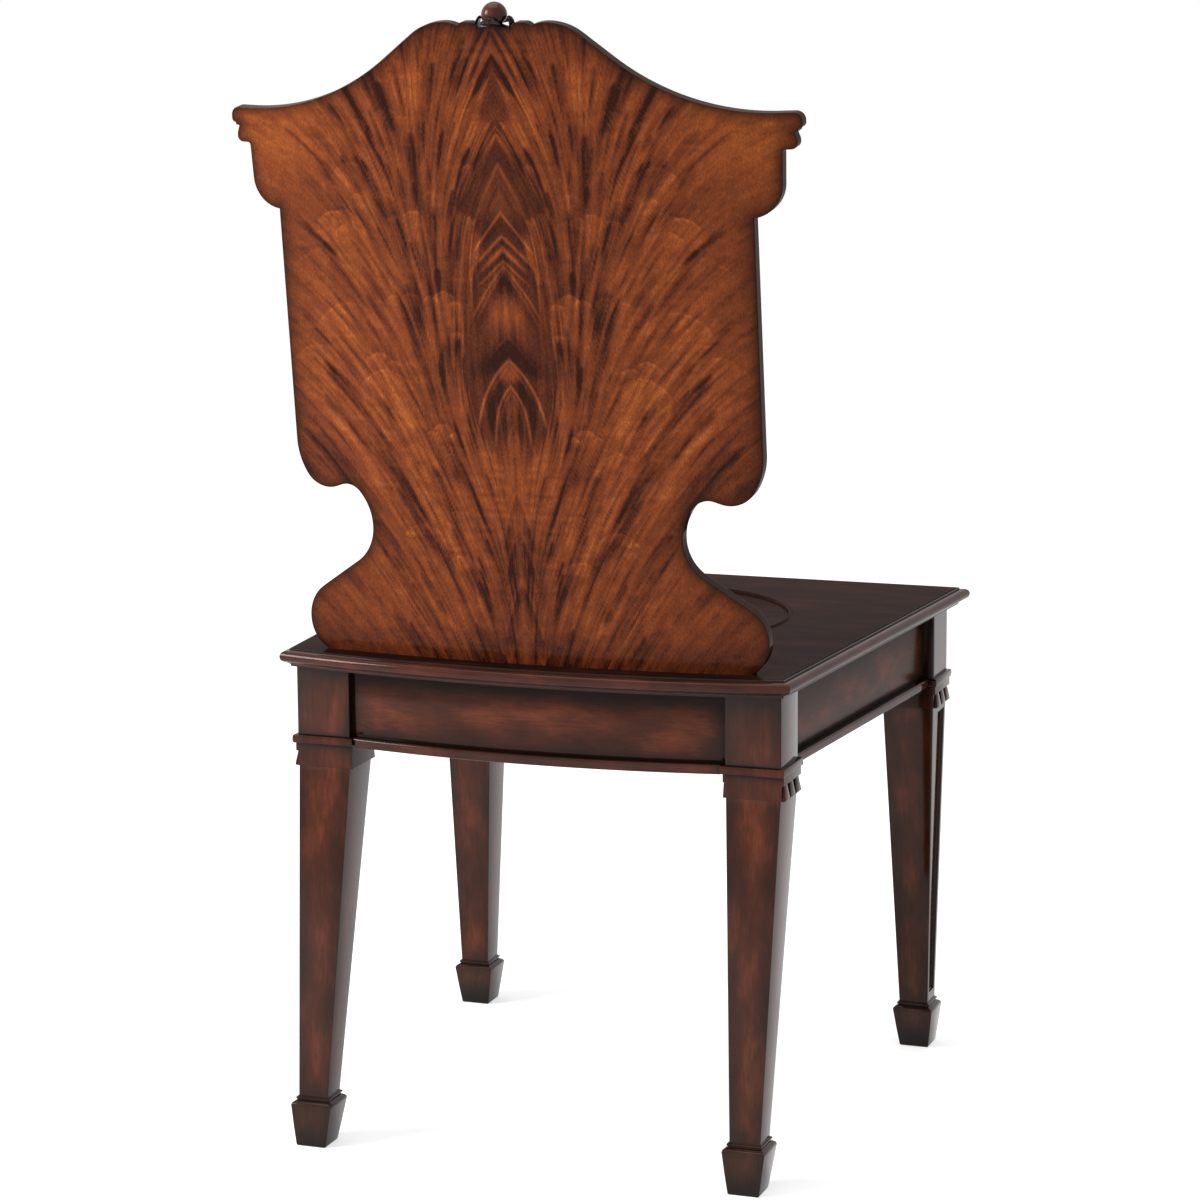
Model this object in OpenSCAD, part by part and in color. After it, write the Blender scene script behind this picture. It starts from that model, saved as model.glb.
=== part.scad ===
// Mahogany hall chair: a shaped, bowed back board on a dished wooden seat, and square
// tapered legs with collars, guttae and spade feet. The front faces -Y, the sitter's
// left is +X, the floor is z = 0 and the origin is under the middle of the chair.

/* [Seat] */
// Height of the seat's top face above the floor
seat_h = 435; // [410:1:470]
// Width of the seat over its front corners
seat_front_w = 520; // [490:1:560]
// Width of the seat over its rear corners
seat_rear_w = 458; // [430:1:500]
// Depth of the seat from its front edge to its rear corners
seat_depth = 475; // [430:1:520]
// Distance that the rear edge bows out behind its corners
seat_bow = 25.5; // [12:0.5:36]
// Thickness of the seat board
seat_t = 15.5; // [14:0.5:22]
// Width of the moulding planted round the seat board
mould_w = 9.2; // [8.4:0.2:16]
// Radius of the dished well
well_r = 144; // [100:1:160]
// Depth of the dished well
well_depth = 5; // [3:0.5:8]
// Distance from the rear corners forward to the middle of the well
well_set = 254; // [240:1:280]
// Distance that the seat's edge overhangs the rear blocks
rear_over = 11; // [9:0.5:16]
// Distance that the seat's edge overhangs the front blocks
front_over = 17; // [12:0.5:22]

/* [Back] */
// Lean of the back from upright, in degrees
back_rake = 7.5; // [4:0.5:14]
// Radius of the bow of the back's rear face
back_bow_r = 1237; // [900:1:1800]
// Thickness of the back over its edge moulding
back_t = 13; // [12:0.5:20]
// Thickness of each veneer on the back
veneer_t = 1; // [0.6:0.1:2]
// Distance from the seat's rear corners forward to the rear face of the back
back_set = 3.3; // [0:0.1:12]
// Width of the back across its straight sides
back_w = 413.5; // [390:0.5:440]
// Width of the back across its foot
foot_w = 412; // [390:1:430]
// Width of the back between its two side notches
waist_w = 276; // [250:1:300]
// Width across the straight sides of the two ears
ear_w = 459; // [450:1:490]
// Height from the seat to the middle of the side notches
waist_h = 112; // [104:1:124]
// Height from the seat to the lower end of the ears
ear_low_h = 382; // [350:1:390]
// Height from the seat to the top of the ears
ear_top_h = 466; // [462:1:480]
// Height from the seat to the top of the two crest humps
crest_h = 541; // [530:1:580]
// Width of the raised edge moulding on the front of the back
border_w = 9; // [6:0.5:12]
// Height of the raised edge moulding above the front veneer
border_rise = 2.5; // [1.5:0.5:4]
// Radius of the finial ball
ball_r = 10.6; // [9:0.2:13]
// Radius over the tips of the four leaves that cup the finial ball
leaf_r = 16.6; // [16.2:0.2:22]
// Depth of the two tenons that hold the back in the seat
back_tenon = 11; // [8:0.5:12]

/* [Legs] */
// Side of the square block at the top of each leg
block_w = 48.6; // [48:0.1:54]
// Side of the square shaft where it leaves the collar
shaft_top_w = 47.6; // [40:0.2:48]
// Side of the square shaft where it enters the spade foot
shaft_low_w = 27.2; // [22:0.2:32]
// Widest side of the spade foot
spade_w = 37.4; // [33:0.2:44]
// Side of the square sole of the spade foot
sole_w = 27.5; // [22:0.5:32]
// Height of the spade foot with its neck moulding
spade_h = 44; // [36:1:60]
// Height of the underside of the collar above the floor
collar_low = 331; // [315:1:345]
// Height of the collar
collar_h = 27.8; // [24:0.2:32]
// Distance that the rear feet stand behind their blocks
rear_kick = 48; // [20:1:60]
// Distance that the feet stand outside their blocks
side_kick = 3.3; // [0:0.1:6]
// Distance that the front feet stand in front of their blocks
front_kick = 9.7; // [6:0.1:14]
// Width of the plain border round the sunk panels of the front legs
panel_border = 5; // [4.5:0.5:8]
// Depth of the sunk panels of the front legs
panel_sink = 3; // [1:0.5:3.5]

/* [Rails] */
// Thickness of the seat rails
rail_t = 21; // [18:1:26]
// Distance that the side and front rails lie behind the block faces
rail_set = 9.5; // [6:0.5:12]
// Distance that the rear rail's ends lie behind the block faces
rear_rail_set = 5.5; // [2:0.5:8]
// Distance that the rear rail bows out behind its ends
rail_bow = 17; // [6:1:22]
// Thickness of the tenons on the rails
tenon_t = 8; // [6:1:10]
// Length of the tenons on the rails
tenon_l = 20; // [14:1:20]

/* [Mouldings] */
// Projection of the collar's top bead from the leg block
bead_out = 3.8; // [2.5:0.1:5]
// Height of the collar's top bead
bead_h = 7.2; // [5:0.1:9]
// Height of the plain fascia under the bead
fascia_h = 7.5; // [5:0.1:9]
// Projection of the fascia from the shaft
fascia_out = 2.8; // [2:0.1:4]
// Number of guttae on each ornamented face
gutta_count = 3; // [2:1:4]
// Height of the bead strips under the rails
strip_h = 8.4; // [5:0.1:9.6]
// Projection of the bead strips from the rails
strip_out = 5.6; // [3:0.1:6.4]

/* [Hidden] */
$fn = 96;

// Colours of the woods and the steel
frame_red = "#5a3024";
flame_brown = "#8c4a24";
inner_wood = "#b08a5c";
steel = "#8a8a86";

// Slack left at a glued joint, and the least gap between parts that only pass by
slack = 0.15;
gap = 0.3;
big = 1500;

// Plan of the seat: the rear corners lie on y = 0 before the chair is centred
front_half = seat_front_w / 2;
rear_half = seat_rear_w / 2;
splay = atan((front_half - rear_half) / seat_depth);
seat_r = (pow(rear_half, 2) + pow(seat_bow, 2)) / (2 * seat_bow);
seat_cy = seat_bow - seat_r;
seat_low = seat_h - seat_t;

// Places of the leg blocks
rear_x = rear_half - rear_over - block_w / 2;
front_x = front_half - front_over - block_w / 2;
rear_y = -rear_over - block_w / 2;
front_y = front_over + block_w / 2 - seat_depth;

// Heights of the collar and its members
collar_top = collar_low + collar_h;
bead_low = collar_top - bead_h;
fascia_low = bead_low - fascia_h;

// Rails
rail_low = collar_top + gap;
rail_end = rear_x - block_w / 2;
rail_r = (pow(rail_end, 2) + pow(rail_bow, 2)) / (2 * rail_bow);
rear_rail_y = rear_y + block_w / 2 - rear_rail_set;
rail_cy = rear_rail_y + rail_bow - rail_r;
front_rail_y = front_y - block_w / 2 + rail_set;
tenon_low = rail_low + 8;
tenon_high = seat_low - 8;

// Back: layers from the rear face forwards
core_t = back_t - 2 * veneer_t - border_rise;
finial_s = crest_h + 5.2;
finial_depth = veneer_t + core_t / 2;
peak_h = crest_h + 1.6;
leaf_s = crest_h + 2.4;
rear_reach = leaf_s * sin(back_rake) + (leaf_r - finial_depth) * cos(back_rake) - back_set;
y_shift = (seat_depth - rear_reach) / 2;

// Corner blocks and screws
brace_h = 34;
brace_leg = 46;
screw_r = 2.2;
screw_head_r = 4.2;
screw_head_h = 2.6;

// Small vector helpers
function unit(v) = v / norm(v);
function mix(a, b, t) = a + (b - a) * t;
function cross2(a, b) = a[0] * b[1] - a[1] * b[0];
function left_of(v) = [-v[1], v[0]];

// A closed outline is a list of [x, y, radius]; these functions round its corners
function xy(p) = [p[0], p[1]];
function at(ps, i) = ps[(i + len(ps)) % len(ps)];
function way(ps, i) = unit(xy(at(ps, i + 1)) - xy(at(ps, i)));
function span(ps, i) = norm(xy(at(ps, i + 1)) - xy(at(ps, i)));
function turn(ps, i) = atan2(cross2(way(ps, i - 1), way(ps, i)), way(ps, i - 1) * way(ps, i));
function reach(ps, i) = at(ps, i)[2] * tan(abs(turn(ps, i)) / 2);
function share(ps, i) = min(1, span(ps, i) / max(reach(ps, i) + reach(ps, i + 1), 0.001));
function kept_r(ps, i) = at(ps, i)[2] * min(share(ps, i - 1), share(ps, i));
function steps(r, a) = max(1, ceil(abs(a) / (2 * acos(1 - 0.05 / max(r, 0.4)))));
function corner(ps, i) =
    let(r = kept_r(ps, i), a = turn(ps, i), p = xy(at(ps, i)), u = way(ps, i - 1))
    r < 0.05 || abs(a) < 0.5 ? [p] :
    let(side = sign(a), start = p - u * r * tan(abs(a) / 2),
        c = start + left_of(u) * r * side, n = steps(r, a))
    [for (k = [0:n]) let(t = -90 * side + a * k / n)
        c + r * (u * cos(t) + left_of(u) * sin(t))];
function rounded(ps) = [for (i = [0:len(ps) - 1]) each corner(ps, i)];

// The same outline moved inwards by d, convex corners tighter and hollow ones wider
function inset_corner(ps, i, d) =
    let(a = left_of(way(ps, i - 1)), b = left_of(way(ps, i)), v = (a + b) / (1 + a * b))
    [at(ps, i)[0] + v[0] * d, at(ps, i)[1] + v[1] * d,
        at(ps, i)[2] == 0 ? 0 : max(0.5, at(ps, i)[2] - d * sign(turn(ps, i)))];
function inset(ps, d) = [for (i = [0:len(ps) - 1]) inset_corner(ps, i, d)];
function mirrored(ps) = [for (i = [len(ps) - 1:-1:0]) [-ps[i][0], ps[i][1], ps[i][2]]];

// Elliptical quarter from angle a to angle b about c
function sweep_pts(c, rx, ry, a, b, n = 8) =
    [for (k = [0:n]) c + [rx * cos(mix(a, b, k / n)), ry * sin(mix(a, b, k / n))]];

// Half of the back's outline from its foot up to the ear, and from the ear to the peak
back_x = back_w / 2;
foot_x = foot_w / 2;
waist_x = waist_w / 2;
ear_x = ear_w / 2;
lower_half = [
    [foot_x - 23, -8, 0],
    [foot_x, 8.9, 29.6],
    [foot_x, waist_h - 68.4, 36],
    [waist_x, waist_h - 20.1, 40],
    [waist_x, waist_h + 17.4, 44],
    [waist_x + 17.4, waist_h + 38.1, 15],
    [back_x - 17.6, waist_h + 26, 23.4],
    [back_x, waist_h + 56.4, 57],
    [back_x, ear_low_h, 0],
    [ear_x, ear_low_h + 3.2, 26.4]];
ear_roll = [
    [ear_x + 1.6, ear_top_h - 29.2, 2.6],
    [ear_x + 13.6, ear_top_h - 29, 5],
    [ear_x + 13.4, ear_top_h - 21.6, 9],
    [ear_x + 11, ear_top_h - 15.2, 0.9],
    [ear_x + 14.3, ear_top_h - 14.8, 0.8],
    [ear_x + 14.5, ear_top_h - 12.9, 0.6],
    [ear_x + 18, ear_top_h - 12.2, 3.6],
    [ear_x + 17.6, ear_top_h + 0.4, 7.6]];
crest_half = [
    [back_x - 51.5, ear_top_h, 210],
    [59.6, crest_h, 47],
    [37.5, crest_h, 30],
    [31.6, crest_h - 2.7, 0],
    [28.3, crest_h, 7],
    [18, crest_h, 7],
    [13.5, crest_h - 4.7, 0],
    [5.5, crest_h - 3.4, 9]];
peak = [[0, peak_h, 0]];
back_half = concat(lower_half, ear_roll, crest_half);
back_outline = concat(back_half, peak, mirrored(back_half));

// The field inside the edge moulding follows the outline without the small turns
field_half = concat(lower_half, [[ear_x + 4, ear_top_h, 12]], [crest_half[0]],
    [[59.6, crest_h, 47], [26, crest_h, 20], [9, crest_h - 5, 8]]);
field_outline = inset(concat(field_half, mirrored(field_half)), border_w);

// Profile of the seat moulding: u runs outwards from the board, z down from its top;
// a small step, a round nose, then a fillet and a shallow cove
nose_r = 4.9;
nose_top = -1.8;
nose_low = nose_top - 2 * nose_r;
cove_u = mould_w - 5.6;
cove_top = nose_low - 0.8;
function seat_profile() = concat(
    [[0, -seat_t], [0, nose_top]],
    sweep_pts([mould_w - nose_r, nose_top - nose_r], nose_r, nose_r, 90, -90, 16),
    [[cove_u, nose_low], [cove_u, cove_top]],
    sweep_pts([cove_u, -seat_t], cove_u - 1, seat_t + cove_top, 100, 180, 6));

// Profile of a bead strip: w wide and strip_h high, its outer edges rounded
function strip_profile(w) = concat([[0, 0]],
    sweep_pts([w - 1.2, 1.2], 1.2, 1.2, -90, 0, 3),
    sweep_pts([w - 2.4, strip_h - 2.4], 2.4, 2.4, 0, 90, 6), [[0, strip_h]]);

// Block between two limits each way, s bigger all round
module box(x, y, z, s = 0) translate([x[0] - s, y[0] - s, z[0] - s])
    cube([x[1] - x[0] + 2 * s, y[1] - y[0] + 2 * s, z[1] - z[0] + 2 * s]);
module centred() translate([0, y_shift, 0]) children();
module both_sides(side) mirror([side < 0 ? 1 : 0, 0, 0]) children();

// Extrudes a profile drawn in x and z along y, or one drawn in y and z along x
module along_y(y0, y1) translate([0, y1, 0]) rotate([90, 0, 0])
    linear_extrude(y1 - y0) children();
module along_x(x0, x1) translate([x0, 0, 0]) rotate([90, 0, 90])
    linear_extrude(x1 - x0) children();

// Frame of the back: z up its rear face from the seat, y = 0 at the middle of that face
module raked() translate([0, -back_set, seat_h]) rotate([-back_rake, 0, 0]) children();

// Layer of the bowed back between two depths behind its rear face
module bowed_layer(d0, d1) translate([0, -back_bow_r, -40]) difference() {
    cylinder(h = 700, r = back_bow_r - d0, $fn = 360);
    translate([0, 0, -1]) cylinder(h = 702, r = back_bow_r - d1, $fn = 360);
}

module back_layer(outline, d0, d1) intersection() {
    raked() intersection() {
        along_y(-80, 2) polygon(rounded(outline));
        bowed_layer(d0, d1);
    }
    box([-big, big], [-big, big], [seat_h, big]);
}

// Half space on the sitter's left (side 1) or right (side -1)
module half(side) both_sides(side) box([0, big], [-big, big], [0, big]);

// Two flat tenons stand inside the bowed core and go down into the seat
back_tenon_x = [30, 80];
function bow_at(x) = back_bow_r - sqrt(pow(back_bow_r, 2) - pow(x, 2));
back_tenon_y = [0.5 - back_set - veneer_t - core_t - bow_at(back_tenon_x[0]),
    -0.2 - back_set - veneer_t - bow_at(back_tenon_x[1])];
module back_tenons(s = 0) for (side = [-1, 1]) both_sides(side)
    box(back_tenon_x, back_tenon_y, [seat_h - back_tenon, seat_h + 2], s);

module back_core() color(frame_red) centred() {
    difference() {
        back_layer(back_outline, veneer_t, veneer_t + core_t);
        raked() spigot(slack);
    }
    back_tenons();
}

module back_veneer(side) color(flame_brown) centred() intersection() {
    back_layer(back_outline, 0, veneer_t);
    half(side);
}
module back_veneer_left() back_veneer(1);
module back_veneer_right() back_veneer(-1);

module front_veneer(side) color(flame_brown) centred() intersection() {
    back_layer(field_outline, veneer_t + core_t, 2 * veneer_t + core_t);
    half(side);
}
module front_veneer_left() front_veneer(1);
module front_veneer_right() front_veneer(-1);

module edge_moulding(side) color(frame_red) centred() intersection() {
    difference() {
        back_layer(back_outline, veneer_t + core_t, back_t);
        raked() along_y(-90, 3) polygon(rounded(field_outline));
    }
    half(side);
}
module edge_moulding_left() edge_moulding(1);
module edge_moulding_right() edge_moulding(-1);

// Room that the crest of the back takes in the finial
module crest_room() along_y(-60, 60) polygon(rounded(inset(back_outline, -gap)));

// The turned ball's spigot passes through the leaves into the core of the back
spigot_r = 2.5;
spigot_low = crest_h - 16;
module spigot(s = 0) translate([0, -finial_depth, spigot_low - s])
    cylinder(h = finial_s - spigot_low, r = spigot_r + s, $fn = 32);

ball_flat = asin((finial_s - peak_h - gap) / ball_r);
module finial_ball() color(frame_red) centred() raked() {
    translate([0, -finial_depth, finial_s]) rotate_extrude() polygon(concat(
        [[0, -ball_r * sin(ball_flat)]], sweep_pts([0, 0], ball_r, ball_r, -ball_flat, 90, 24)));
    spigot();
}

// Calyx of four leaves, cut over the crest, that cups the ball
cup_r = 8.5;
leaf_lip = 1.8;
module finial_leaves() color(frame_red) centred() raked() difference() {
    translate([0, -finial_depth, 0]) difference() {
        rotate_extrude() polygon(concat([[0, crest_h - 8]],
            sweep_pts([cup_r, crest_h - 1], leaf_r - cup_r, 7, -90, 0, 6),
            sweep_pts([leaf_r - leaf_lip, leaf_s], leaf_lip, leaf_lip, 0, 110, 5),
            [[leaf_r - 4.4, leaf_s - 1.2], [ball_r - 1, leaf_s - 1.6], [0, leaf_s - 1.6]]));
        translate([0, 0, finial_s]) sphere(r = ball_r + slack);
        for (a = [45:90:315]) rotate([0, 0, a]) translate([leaf_r - 1, 0, crest_h - 2])
            rotate([0, 14, 0]) cylinder(h = 12, r = 5, $fn = 48);
    }
    crest_room();
    spigot(slack);
}

// Plan of the seat moved inwards by d, without its bowed rear edge
function side_at(y, d) = front_half - (y + seat_depth) * tan(splay) - d / cos(splay);
function rear_corner(d) = let(r = seat_r - d, y = sqrt(pow(r, 2) - pow(side_at(0, d), 2)) + seat_cy)
    [side_at(y, d), sqrt(pow(r, 2) - pow(side_at(y, d), 2)) + seat_cy];
function front_corner(d) = [side_at(-seat_depth + d, d), -seat_depth + d];

module seat_board() color(frame_red) centred() difference() {
    intersection() {
        translate([0, 0, seat_low]) linear_extrude(seat_t) polygon([
            front_corner(mould_w), [side_at(60, mould_w), 60],
            [-side_at(60, mould_w), 60], [-front_corner(mould_w)[0], front_corner(mould_w)[1]]]);
        translate([0, seat_cy, seat_low - 1]) cylinder(h = seat_t + 2, r = seat_r - mould_w, $fn = 360);
    }
    translate([0, -well_set, seat_h]) rotate_extrude($fn = 180) polygon(concat(
        [[0, 2], [0, -well_depth], [well_r * 0.55, -well_depth]],
        sweep_pts([well_r * 0.55, 0], well_r * 0.45, well_depth, -90, 0, 10), [[well_r, 2]]));
    back_tenons(slack);
    for (p = seat_screw_places()) translate([p[0], p[1], seat_low - 1])
        cylinder(h = 11, r = screw_r);
}

// A corner's mitre runs from the outer corner to the board's corner and on past both
function mitre_out(corner, inner) = corner + unit(corner - inner) * 8;
function mitre_in(corner, inner) = inner - unit(corner - inner) * 8;
function mitre(corner, inner) = [mitre_out(corner, inner), mitre_in(corner, inner)];
mitre_front = mitre(front_corner(0), front_corner(mould_w));
mitre_rear = mitre(rear_corner(0), rear_corner(mould_w));
function flip(p) = [-p[0], p[1]];

module seat_moulding_front() color(frame_red) centred() intersection() {
    translate([0, -seat_depth + mould_w, seat_h]) along_x(-front_half, front_half)
        polygon([for (p = seat_profile()) [-p[0], p[1]]]);
    linear_extrude(seat_h + 1) polygon([mitre_front[0], mitre_front[1],
        flip(mitre_front[1]), flip(mitre_front[0])]);
}

module seat_moulding_side(side) color(frame_red) centred() both_sides(side) intersection() {
    translate([front_half, -seat_depth, seat_h]) rotate([0, 0, splay])
        translate([-mould_w, 0, 0]) along_y(-10, seat_depth + 20) polygon(seat_profile());
    linear_extrude(seat_h + 1) polygon([mitre_front[0], mitre_rear[0],
        mitre_rear[1], mitre_front[1]]);
}
module seat_moulding_left() seat_moulding_side(1);
module seat_moulding_right() seat_moulding_side(-1);

module seat_moulding_rear() color(frame_red) centred() intersection() {
    translate([0, seat_cy, seat_h]) rotate([0, 0, 60]) rotate_extrude(angle = 60, $fn = 720)
        polygon([for (p = seat_profile()) [seat_r - mould_w + p[0], p[1]]]);
    linear_extrude(seat_h + 1) polygon([mitre_rear[0], [0, 200], flip(mitre_rear[0]),
        flip(mitre_rear[1]), [0, -60], mitre_rear[1]]);
}

// Tenon of a rail that enters a block, and its mortise when s is the slack
tenon_z = [tenon_low, tenon_high];
function tenon_band(mid) = [mid - tenon_t / 2, mid + tenon_t / 2];
module front_tenon(s = 0)
    box([front_x - block_w / 2 - 1, front_x - block_w / 2 + tenon_l],
        tenon_band(front_rail_y + rail_t / 2), tenon_z, s);
module rear_tenon(s = 0)
    box([rail_end - 1, rail_end + tenon_l], tenon_band(rear_rail_y - rail_t / 2), tenon_z, s);
module side_tenons(s = 0) {
    side_in = block_w / 2 - rail_set - rail_t / 2;
    box(tenon_band(rear_x + side_in),
        [rear_y - block_w / 2 - 1, rear_y - block_w / 2 + tenon_l], tenon_z, s);
    box(tenon_band(front_x + side_in),
        [front_y + block_w / 2 - tenon_l, front_y + block_w / 2 + 1], tenon_z, s);
}

module rail_front() color(frame_red) centred() difference() {
    union() {
        box([block_w / 2 - front_x, front_x - block_w / 2],
            [front_rail_y, front_rail_y + rail_t], [rail_low, seat_low]);
        for (side = [-1, 1]) both_sides(side) front_tenon();
    }
    corner_screw_shapes(slack);
}

module rail_rear() color(frame_red) centred() difference() {
    union() {
        intersection() {
            translate([0, rail_cy, rail_low]) difference() {
                cylinder(h = seat_low - rail_low, r = rail_r, $fn = 360);
                translate([0, 0, -1]) cylinder(h = seat_low, r = rail_r - rail_t, $fn = 360);
            }
            box([-rail_end, rail_end], [-150, 150], [0, big]);
        }
        for (side = [-1, 1]) both_sides(side) rear_tenon();
    }
    corner_screw_shapes(slack);
}

// Outer line of a side rail at its rear and front ends
side_rail_rear = [rear_x + block_w / 2 - rail_set, rear_y - block_w / 2];
side_rail_front = [front_x + block_w / 2 - rail_set, front_y + block_w / 2];

module rail_side(side) color(frame_red) centred() both_sides(side) difference() {
    union() {
        translate([0, 0, rail_low]) linear_extrude(seat_low - rail_low) polygon([side_rail_front,
            side_rail_rear, side_rail_rear - [rail_t, 0], side_rail_front - [rail_t, 0]]);
        side_tenons();
    }
    corner_screw_shapes(slack);
}
module rail_left() rail_side(1);
module rail_right() rail_side(-1);

// Bead strips under the rails stop at the collars' beads
strip_low = rail_low - strip_h;
module rail_bead_front() color(frame_red) centred() intersection() {
    translate([0, front_rail_y + rail_t, strip_low]) along_x(-front_x, front_x)
        polygon([for (p = strip_profile(rail_t + strip_out)) [-p[0], p[1]]]);
    strip_end = front_x - block_w / 2 - bead_out - gap;
    box([-strip_end, strip_end], [-big, 0], [0, big]);
}

module rail_bead_rear() color(frame_red) centred() intersection() {
    translate([0, rail_cy, strip_low]) rotate([0, 0, 60]) rotate_extrude(angle = 60, $fn = 720)
        polygon([for (p = strip_profile(rail_t + strip_out)) [rail_r - rail_t + p[0], p[1]]]);
    strip_end = rail_end - bead_out - gap;
    box([-strip_end, strip_end], [-200, 200], [0, big]);
}

rail_angle = atan2(side_rail_front[0] - side_rail_rear[0], side_rail_rear[1] - side_rail_front[1]);
module rail_bead_side(side) color(frame_red) centred() both_sides(side) intersection() {
    translate([side_rail_front[0], side_rail_front[1], strip_low]) rotate([0, 0, rail_angle])
        translate([-rail_t, 0, 0]) along_y(-30, seat_depth)
            polygon(strip_profile(rail_t + strip_out));
    strip_ends = [side_rail_front[1] + bead_out + gap, side_rail_rear[1] - bead_out - gap];
    box([0, big], strip_ends, [0, big]);
}
module rail_bead_left() rail_bead_side(1);
module rail_bead_right() rail_bead_side(-1);

// A leg is drawn about its block; kick is where its foot stands from there in x and y
function lean(kick, z) = kick * (1 - min(z, collar_low) / collar_low);
function shaft_half(z) = mix(shaft_low_w, shaft_top_w, (z - spade_h) / (collar_low - spade_h)) / 2;
front_step = [side_kick, -front_kick];
rear_step = [side_kick, rear_kick];
function side_of(kick, half, z) = lean(kick, z) + half;

// Profile sawn from one side of the leg, in that side's own direction and z
function shaft_profile(kick) = [
    [side_of(kick, shaft_half(spade_h), spade_h), spade_h],
    [shaft_top_w / 2, collar_low], [shaft_top_w / 2, collar_top],
    [block_w / 2, collar_top], [block_w / 2, seat_low], [-block_w / 2, seat_low],
    [-block_w / 2, collar_top], [-shaft_top_w / 2, collar_top], [-shaft_top_w / 2, collar_low],
    [side_of(kick, -shaft_half(spade_h), spade_h), spade_h]];

module leg_body(step) intersection() {
    along_y(-200, 200) polygon(shaft_profile(step[0]));
    along_x(-200, 200) polygon(shaft_profile(step[1]));
}

// Slice just inside one face of the shaft, and the window that a sunk panel takes in it
panel_low = spade_h + 9;
panel_high = collar_low - 7;
function four(a, b) = [[a, panel_low], [a, panel_high], [b, panel_high], [b, panel_low]];
function panel_window(kick) = [for (c = four(1, -1))
    [side_of(kick, c[0] * (shaft_half(c[1]) - panel_border), c[1]), c[1]]];
function face_slice(kick, side) = [for (c = four(0, 1))
    [side_of(kick, side * (shaft_half(c[1]) - panel_sink + c[0] * (panel_sink + 5)), c[1]), c[1]]];

module sunk_panels(step) {
    intersection() {
        along_x(-200, 200) polygon(panel_window(step[1]));
        along_y(-200, 200) polygon(face_slice(step[0], 1));
    }
    intersection() {
        along_y(-200, 200) polygon(panel_window(step[0]));
        along_x(-200, 200) polygon(face_slice(step[1], -1));
    }
}

foot_dowel_r = 5;
foot_dowel_l = 14;
module foot_dowel(step, s = 0)
    translate([lean(step[0], spade_h), lean(step[1], spade_h), spade_h - foot_dowel_l - s])
        cylinder(h = foot_dowel_l + 1 + 2 * s, r = foot_dowel_r + s, $fn = 48);

module leg_front(side) color(frame_red) centred() both_sides(side) difference() {
    translate([front_x, front_y, 0]) union() {
        difference() {
            leg_body(front_step);
            sunk_panels(front_step);
        }
        foot_dowel(front_step);
    }
    front_tenon(slack);
    side_tenons(slack);
}
module leg_front_left() leg_front(1);
module leg_front_right() leg_front(-1);

module leg_rear(side) color(frame_red) centred() both_sides(side) difference() {
    translate([rear_x, rear_y, 0]) union() {
        leg_body(rear_step);
        foot_dowel(rear_step);
    }
    rear_tenon(slack);
    side_tenons(slack);
}
module leg_rear_left() leg_rear(1);
module leg_rear_right() leg_rear(-1);

// Collar profiles outwards from the shaft: bead alone, plain steps, or a bed for guttae
block_step = (block_w - shaft_top_w) / 2;
band_out = 1;
function bead() = concat([[0, collar_top]],
    sweep_pts([block_step + bead_out - 1.2, collar_top - 1.2], 1.2, 1.2, 90, 0, 4),
    sweep_pts([block_step + bead_out - 1.2, bead_low + 1.2], 1.2, 1.2, 0, -90, 4));
function bead_only() = concat(bead(), [[0, bead_low], [0, collar_low]]);
function plain_steps() = concat(bead(), [
    [fascia_out, bead_low], [fascia_out, fascia_low], [fascia_out - 1, fascia_low],
    [fascia_out - 0.2, collar_low], [0, collar_low]]);
function guttae_bed() = concat(bead(), [
    [fascia_out, bead_low], [fascia_out, fascia_low], [band_out, fascia_low],
    [band_out, collar_low], [0, collar_low]]);

// Whole side-to-side profile from the profile of its + side and of its - side
function both_profiles(plus, minus) = concat(
    [for (p = plus) [shaft_top_w / 2 + p[0], p[1]]],
    [for (i = [len(minus) - 1:-1:0]) [-shaft_top_w / 2 - minus[i][0], minus[i][1]]]);

module collar_body(x_plus, x_minus, y_plus, y_minus) difference() {
    intersection() {
        along_y(-60, 60) polygon(both_profiles(x_plus, x_minus));
        along_x(-60, 60) polygon(both_profiles(y_plus, y_minus));
    }
    shaft = [-shaft_top_w / 2, shaft_top_w / 2];
    box(shaft, shaft, [0, big]);
}

module at_front(side) centred() both_sides(side) translate([front_x, front_y, 0]) children();
module at_rear(side) centred() both_sides(side) translate([rear_x, rear_y, 0]) children();

module collar_front(side) color(frame_red) at_front(side)
    collar_body(guttae_bed(), plain_steps(), plain_steps(), guttae_bed());
module collar_front_left() collar_front(1);
module collar_front_right() collar_front(-1);

module collar_rear(side) color(frame_red) at_rear(side)
    collar_body(guttae_bed(), plain_steps(), bead_only(), plain_steps());
module collar_rear_left() collar_rear(1);
module collar_rear_right() collar_rear(-1);

// One gutta hangs on the +x face of the collar's bed, a wedge that flares downwards
gutta_pitch = shaft_top_w / gutta_count;
gutta_low_w = 0.93 * gutta_pitch;
gutta_top_w = 0.57 * gutta_pitch;
gutta_out = 4.2;
module gutta() intersection() {
    along_y(-10, 10) polygon([[band_out, fascia_low], [band_out + 1.3, fascia_low],
        [gutta_out, collar_low + 1.2], [gutta_out - 0.6, collar_low], [band_out, collar_low]]);
    along_x(0, 10) polygon([[-gutta_low_w / 2, collar_low], [gutta_low_w / 2, collar_low],
        [gutta_top_w / 2, fascia_low], [-gutta_top_w / 2, fascia_low]]);
}
module gutta_row() for (k = [0:gutta_count - 1])
    translate([shaft_top_w / 2, (k + 0.5) * gutta_pitch - shaft_top_w / 2, 0]) gutta();

module guttae_front(side) color(frame_red) at_front(side) {
    gutta_row();
    rotate([0, 0, -90]) gutta_row();
}
module guttae_front_left() guttae_front(1);
module guttae_front_right() guttae_front(-1);

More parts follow.
